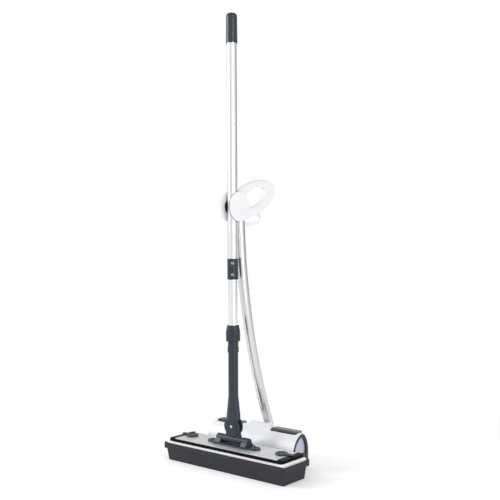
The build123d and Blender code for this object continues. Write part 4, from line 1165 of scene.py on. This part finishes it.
@dataclass
class SweeperHandle:
    """Loop grip with its clip cheeks, and the curved stick."""

    lining_round: float = 0.0004
    screw_rise: float = 0.0005
    screw_sink: float = 0.0001
    moulding_sharp: float = 20.0
    cheek_round: float = 0.003
    cheek_steps: int = 96
    # Painted shade: a thin grey ring on the right cheek's inner edge stands in for the shade on its flank.
    shade_band_width: float = 0.0025
    shade_band_sink: float = 0.0003
    shade_band_proud: float = 0.0002

    def build(self, shop: Workshop) -> None:
        """Refine the loop, the cheeks and the stick.

        Args:
            shop: The workshop.
        """
        shop.refine("loop_handle", "handle_white", sharp=self.moulding_sharp)
        for side in SIDES:
            self.cheek(shop, f"clip_disc_{side}")
            shop.refine(f"clip_pad_{side}", "lining_rubber", edge=self.lining_round)
        low, high = corners("disc_screws")
        radius = (high.y - low.y) / 2
        middle = (high.y + low.y) / 2
        head = shop.screw_head("disc_screw_head", radius, self.screw_rise, self.screw_sink)
        places = [(low.x, middle, low.z + radius), (low.x, middle, high.z - radius)]
        shop.fasten("disc_screws", "steel_pin", head, places, (0.0, -math.pi / 2, 0.0))
        shop.refine("stick", "stick_satin")
        shop.refine("stick_root", "white_plastic", sharp=self.moulding_sharp)

    def cheek(self, shop: Workshop, node: str) -> None:
        """Turn one clip cheek, its outer edge rounded; the right one gets a band of painted shade at its
        inner edge.

        Args:
            shop: The workshop.
            node: Name of the cheek.
        """
        low, high = corners(node)
        centre = (low + high) / 2
        side = math.copysign(1.0, centre.x)
        radius = (high.z - low.z) / 2
        height = high.x - low.x
        edge = [
            (radius - self.cheek_round * (1.0 - math.cos(turn)),
             height - self.cheek_round * (1.0 - math.sin(turn))) for turn in quarter_turns()]
        outline = [(0.0, 0.0), (radius, 0.0), *edge, (0.0, height)]
        centre.x = side * min(abs(low.x), abs(high.x))
        lay = Matrix.Translation(centre) @ Matrix.Rotation(side * math.pi / 2, 4, "Y")
        shop.stand_in(node, lathe(f"{node}_skin", outline, self.cheek_steps, lay), "handle_white")
        if side < 0.0:
            return
        # Painted shade: a grey ring round the right cheek's inner edge, standing in for the shade on its
        # flank.
        inner, outer = radius - self.shade_band_sink, radius + self.shade_band_proud
        painted_shade_band = ((inner, 0.0), (outer, 0.0), (outer, self.shade_band_width), (inner, self.shade_band_width))
        mesh = lathe(f"{node}_band", painted_shade_band, self.cheek_steps, lay)
        shop.add(f"{node}_band", mesh, shop.body_of_node[node], "grey_plastic")


@dataclass
class SweeperHead:
    """Hood, end frames, windows, emptying bars, flaps, brush and wheels."""

    hood_sharp: float = 14.0
    bar_round: float = 0.0008
    frame_round: float = 0.0006
    tread: float = 0.0003
    tread_width: float = 0.0011
    tyre_shoulder: float = 0.0008
    shoulder_share: float = 0.3
    tyre_steps: int = 40
    tuft: float = 0.0034
    tuft_root: float = 0.0085

    def build(self, shop: Workshop) -> None:
        """Refine the head and everything that it carries.

        Args:
            shop: The workshop.
        """
        treads = tread_recipe()
        shop.refine("sweeper_hood", "white_plastic", sharp=self.hood_sharp)
        for side in SIDES:
            shop.refine(f"end_frame_{side}", "slate_plastic", edge=self.frame_round)
            shop.refine(f"end_window_{side}", "window_plastic")
            shop.refine(f"bin_bar_{side}", "smoke_plastic", edge=self.bar_round)
            for end in ENDS:
                shop.refine(f"wheel_{end}_{side}", "grey_plastic", edge=self.frame_round)
                self.tyre(shop, treads, f"tyre_{end}_{side}")
        for end in ENDS:
            shop.refine(f"dust_flap_{end}", "grey_plastic")
        for node in ("neck_pin", "stub_axles"):
            shop.refine(node, "steel_pin")
        shop.refine("brush_core", "grey_plastic")
        shop.refine("drive_pulleys", "lining_rubber")
        self.brush(shop)

    def tyre(self, shop: Workshop, treads: Recipe, node: str) -> None:
        """Turn a tyre with round shoulders and set its tread bars.

        Args:
            shop: The workshop.
            treads: Tree that makes the bars.
            node: Name of the tyre.
        """
        low, high = corners(node)
        wheel_low, wheel_high = corners(node.replace("tyre", "wheel"))
        centre = (low + high) / 2
        outer = (high.z - low.z) / 2 - self.tread
        inner = (wheel_high.z - wheel_low.z) / 2
        half = (high.x - low.x) / 2
        soft = self.tyre_shoulder
        bend = self.shoulder_share * soft
        outline = (
            (inner, -half), (outer - soft, -half), (outer - bend, bend - half), (outer, soft - half),
            (outer, half - soft), (outer - bend, half - bend), (outer - soft, half), (inner, half))
        lay = Matrix.Translation(centre) @ Matrix.Rotation(math.pi / 2, 4, "Y")
        shop.stand_in(node, lathe(f"{node}_skin", outline, self.tyre_steps, lay), "tyre_rubber")
        bar = (2.0 * (half - soft), self.tread_width, 2.0 * self.tread)
        mesh = treads.run(f"{node}_treads", shop.finish["tyre_rubber"], sizes={
            "Radius": outer, "Bar": bar, "Centre": tuple(centre)})
        shop.add(f"{node}_treads", mesh, shop.body_of_node[node], "tyre_rubber")

    def brush(self, shop: Workshop) -> None:
        """Plant the tufts on the brush core.

        Args:
            shop: The workshop.
        """
        low, high = corners("brush_bristles")
        mesh = bristle_recipe().run("brush_bristles_skin", shop.finish["bristle"], sizes={
            "Span": high.x - low.x - self.tuft, "Tuft": self.tuft, "Radius": self.tuft_root,
            "Length": (high.z - low.z) / 2 - self.tuft_root, "Centre": tuple((low + high) / 2)})
        shop.stand_in("brush_bristles", mesh, "bristle")


@dataclass(frozen=True)
class Lamp:
    """One soft box; a square one has no height of its own."""

    name: str
    place: Triple
    aim: Triple
    size: float
    power: float
    height: float | None = None

    def build(self) -> None:
        """Hang the soft box and turn it to what it lights."""
        light = bpy.data.lights.new(self.name, "AREA")
        light.size = self.size
        if self.height is not None:
            light.shape = "RECTANGLE"
            light.size_y = self.height
        light.energy = self.power
        holder = linked(self.name, light)
        holder.location = self.place
        holder.rotation_euler = (Vector(self.aim) - Vector(self.place)).to_track_quat("-Z", "Y").to_euler()


@dataclass(frozen=True)
class Screen:
    """One stop of the grey screens round the object, by its bearing in degrees from the camera."""

    bearing: float
    level: float


@dataclass
class Studio:
    """White room, soft boxes and the camera of the photograph."""

    heading: float = 39.7
    camera_height: float = 0.614
    camera_reach: float = 2.165
    camera_slip: float = 0.0487
    lens: float = 55.44
    sensor: float = 36.0
    camera_roll: float = -0.28
    floor_radius: float = 6.0
    floor_colour: Triple = (0.90, 0.90, 0.905)
    floor_roughness: float = 0.9
    floor_glow: float = 0.22
    fade_start: float = 0.5
    fade_end: float = 1.2
    ambient: float = 0.68
    lamps: tuple[Lamp, ...] = field(default_factory=lambda: (
        Lamp("key_box", place=(-2.2, -1.7, 1.7), aim=(0.0, 0.0, 0.40), size=1.4, power=42.0),
        Lamp("side_box", place=(2.3, -1.2, 1.3), aim=(0.0, 0.05, 0.2), size=1.2, power=3.0),
        Lamp("strip_box", place=(2.20, -0.75, 1.10), aim=(0.0, 0.0, 0.95), size=0.22, power=18.0,
             height=2.1),
    ))
    screens: tuple[Screen, ...] = field(default_factory=lambda: (
        Screen(bearing=-180.0, level=0.60), Screen(bearing=-150.0, level=0.48),
        Screen(bearing=-120.0, level=0.80), Screen(bearing=-90.0, level=0.88),
        Screen(bearing=-60.0, level=1.0), Screen(bearing=-24.0, level=0.70),
        Screen(bearing=-2.0, level=1.0), Screen(bearing=50.0, level=1.0),
        Screen(bearing=85.0, level=0.72), Screen(bearing=118.0, level=0.34),
        Screen(bearing=150.0, level=0.40), Screen(bearing=180.0, level=0.80),
    ))

    def directions(self) -> tuple[Vector, Vector]:
        """Work out the level directions of the camera.

        Returns:
            Its right hand direction and its line of sight.
        """
        turn = math.radians(self.heading)
        right = Vector((math.cos(turn), math.sin(turn), 0.0))
        ahead = Vector((-math.sin(turn), math.cos(turn), 0.0))
        return right, ahead

    def build(self) -> None:
        """Set up the room, the lamps and the camera."""
        scene = bpy.context.scene
        scene.view_settings.view_transform = "Standard"
        self.hang_camera(scene)
        self.paint_world(scene)
        self.lay_floor()
        for lamp in self.lamps:
            lamp.build()

    def hang_camera(self, scene: bpy.types.Scene) -> None:
        """Place the camera, level but for a slight roll.

        Args:
            scene: Scene that gets the camera.
        """
        right, ahead = self.directions()
        data = bpy.data.cameras.new("camera")
        data.sensor_width = self.sensor
        data.lens = self.lens
        camera = linked("camera", data)
        camera.location = right * self.camera_slip - ahead * self.camera_reach
        camera.location.z = self.camera_height
        roll = Quaternion((0.0, 0.0, 1.0), math.radians(self.camera_roll))
        camera.rotation_euler = (ahead.to_track_quat("-Z", "Y") @ roll).to_euler()
        scene.camera = camera

    def paint_world(self, scene: bpy.types.Scene) -> None:
        """White all round for the eye, grey screens at the sides for what is reflected.

        Args:
            scene: Scene that gets the world.
        """
        right, ahead = self.directions()
        world = bpy.data.worlds.new("white_room")
        scene.world = world
        world.use_nodes = True
        wiring = Wiring(world.node_tree)
        nodes = world.node_tree.nodes
        base = wiring.join(nodes["Background"], {"Color": WHITE, "Strength": self.ambient})
        shown = wiring.node("ShaderNodeBackground", {"Color": WHITE})
        place = wiring.node("ShaderNodeTexCoord", {}).outputs["Generated"]
        parts = [
            wiring.node("ShaderNodeVectorMath", {0: place, 1: direction}, operation="DOT_PRODUCT")
            for direction in (right, -ahead)]
        bearing = wiring.maths("ARCTAN2", *(part.outputs["Value"] for part in parts))
        share = wiring.node(MAP_RANGE, {"Value": bearing, "From Min": -math.pi, "From Max": math.pi})
        screens = wiring.node("ShaderNodeValToRGB", {"Fac": share.outputs["Result"]})
        self.set_screens(screens.color_ramp)
        mirrored = wiring.node("ShaderNodeBackground", {"Color": screens.outputs["Color"]})
        path = wiring.node(LIGHT_PATH, {}).outputs
        bright = wiring.maths("MAXIMUM", path["Is Glossy Ray"], path["Is Transmission Ray"])
        soft = wiring.node(MIX_SHADER, {"Fac": bright, 1: base.outputs[0], 2: mirrored.outputs[0]})
        seen = wiring.node(MIX_SHADER, {
            "Fac": path["Is Camera Ray"], 1: soft.outputs[0], 2: shown.outputs[0]})
        wiring.join(nodes["World Output"], {"Surface": seen.outputs[0]})

    def set_screens(self, ramp: bpy.types.ColorRamp) -> None:
        """Put the grey screens on a ramp, by bearing.

        Args:
            ramp: Ramp over the bearing, from behind on the left round to behind on the right.
        """
        while len(ramp.elements) < len(self.screens):
            ramp.elements.new(0.5)
        for stop, screen in zip(ramp.elements, self.screens):
            stop.position = (screen.bearing + 180.0) / 360.0
            stop.color = (screen.level, screen.level, screen.level, 1.0)

    def lay_floor(self) -> None:
        """Lay a round white floor that keeps the shadow and fades into the background."""
        disc = bmesh.new()
        bmesh.ops.create_circle(disc, cap_ends=True, segments=96, radius=self.floor_radius)
        mesh = mesh_of("studio_floor", disc)
        floor = linked("studio_floor", mesh)
        mesh.materials.append(self.floor_finish())

    def floor_finish(self) -> bpy.types.Material:
        """Make the matt white of the floor, a little brighter for the eye and pure white far out.

        Returns:
            The material.
        """
        material = bpy.data.materials.new("studio_floor")
        material.use_nodes = True
        wiring = Wiring(material.node_tree)
        nodes = material.node_tree.nodes
        matt = wiring.join(nodes["Principled BSDF"], {
            "Base Color": (*self.floor_colour, 1.0), "Roughness": self.floor_roughness,
            "Specular IOR Level": 0.0})
        path = wiring.node(LIGHT_PATH, {}).outputs
        shown = wiring.maths("MAXIMUM", path["Is Camera Ray"], path["Is Glossy Ray"])
        glow = wiring.node("ShaderNodeEmission", {
            "Strength": wiring.maths("MULTIPLY", shown, self.floor_glow)})
        both = wiring.node("ShaderNodeAddShader", {0: matt.outputs[0], 1: glow.outputs[0]})
        white = wiring.node("ShaderNodeEmission", {})
        place = wiring.node("ShaderNodeTexCoord", {}).outputs["Object"]
        reach = wiring.node("ShaderNodeVectorMath", {0: place}, operation="LENGTH")
        fade = wiring.node(MAP_RANGE, {
            "Value": reach.outputs["Value"], "From Min": self.fade_start, "From Max": self.fade_end})
        blend = wiring.node(MIX_SHADER, {
            "Fac": fade.outputs["Result"], 1: both.outputs[0], 2: white.outputs[0]})
        wiring.join(nodes["Material Output"], {"Surface": blend.outputs[0]})
        return material


def main() -> None:
    """Build every sub-assembly in order."""
    logging.basicConfig(level=logging.INFO, format="%(name)s: %(message)s")
    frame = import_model()
    shop = Workshop(frame)
    assemblies = (
        MopTray(), MopPad(), MopHead(), UniversalJoint(), Pole(), SweeperHandle(), SweeperHead())
    for assembly in assemblies:
        start = len(shop.pieces)
        assembly.build(shop)
        LOG.info("%s: %s", type(assembly).__name__, ", ".join(shop.pieces[start:]))
    Studio().build()


if __name__ == "__main__":
    main()
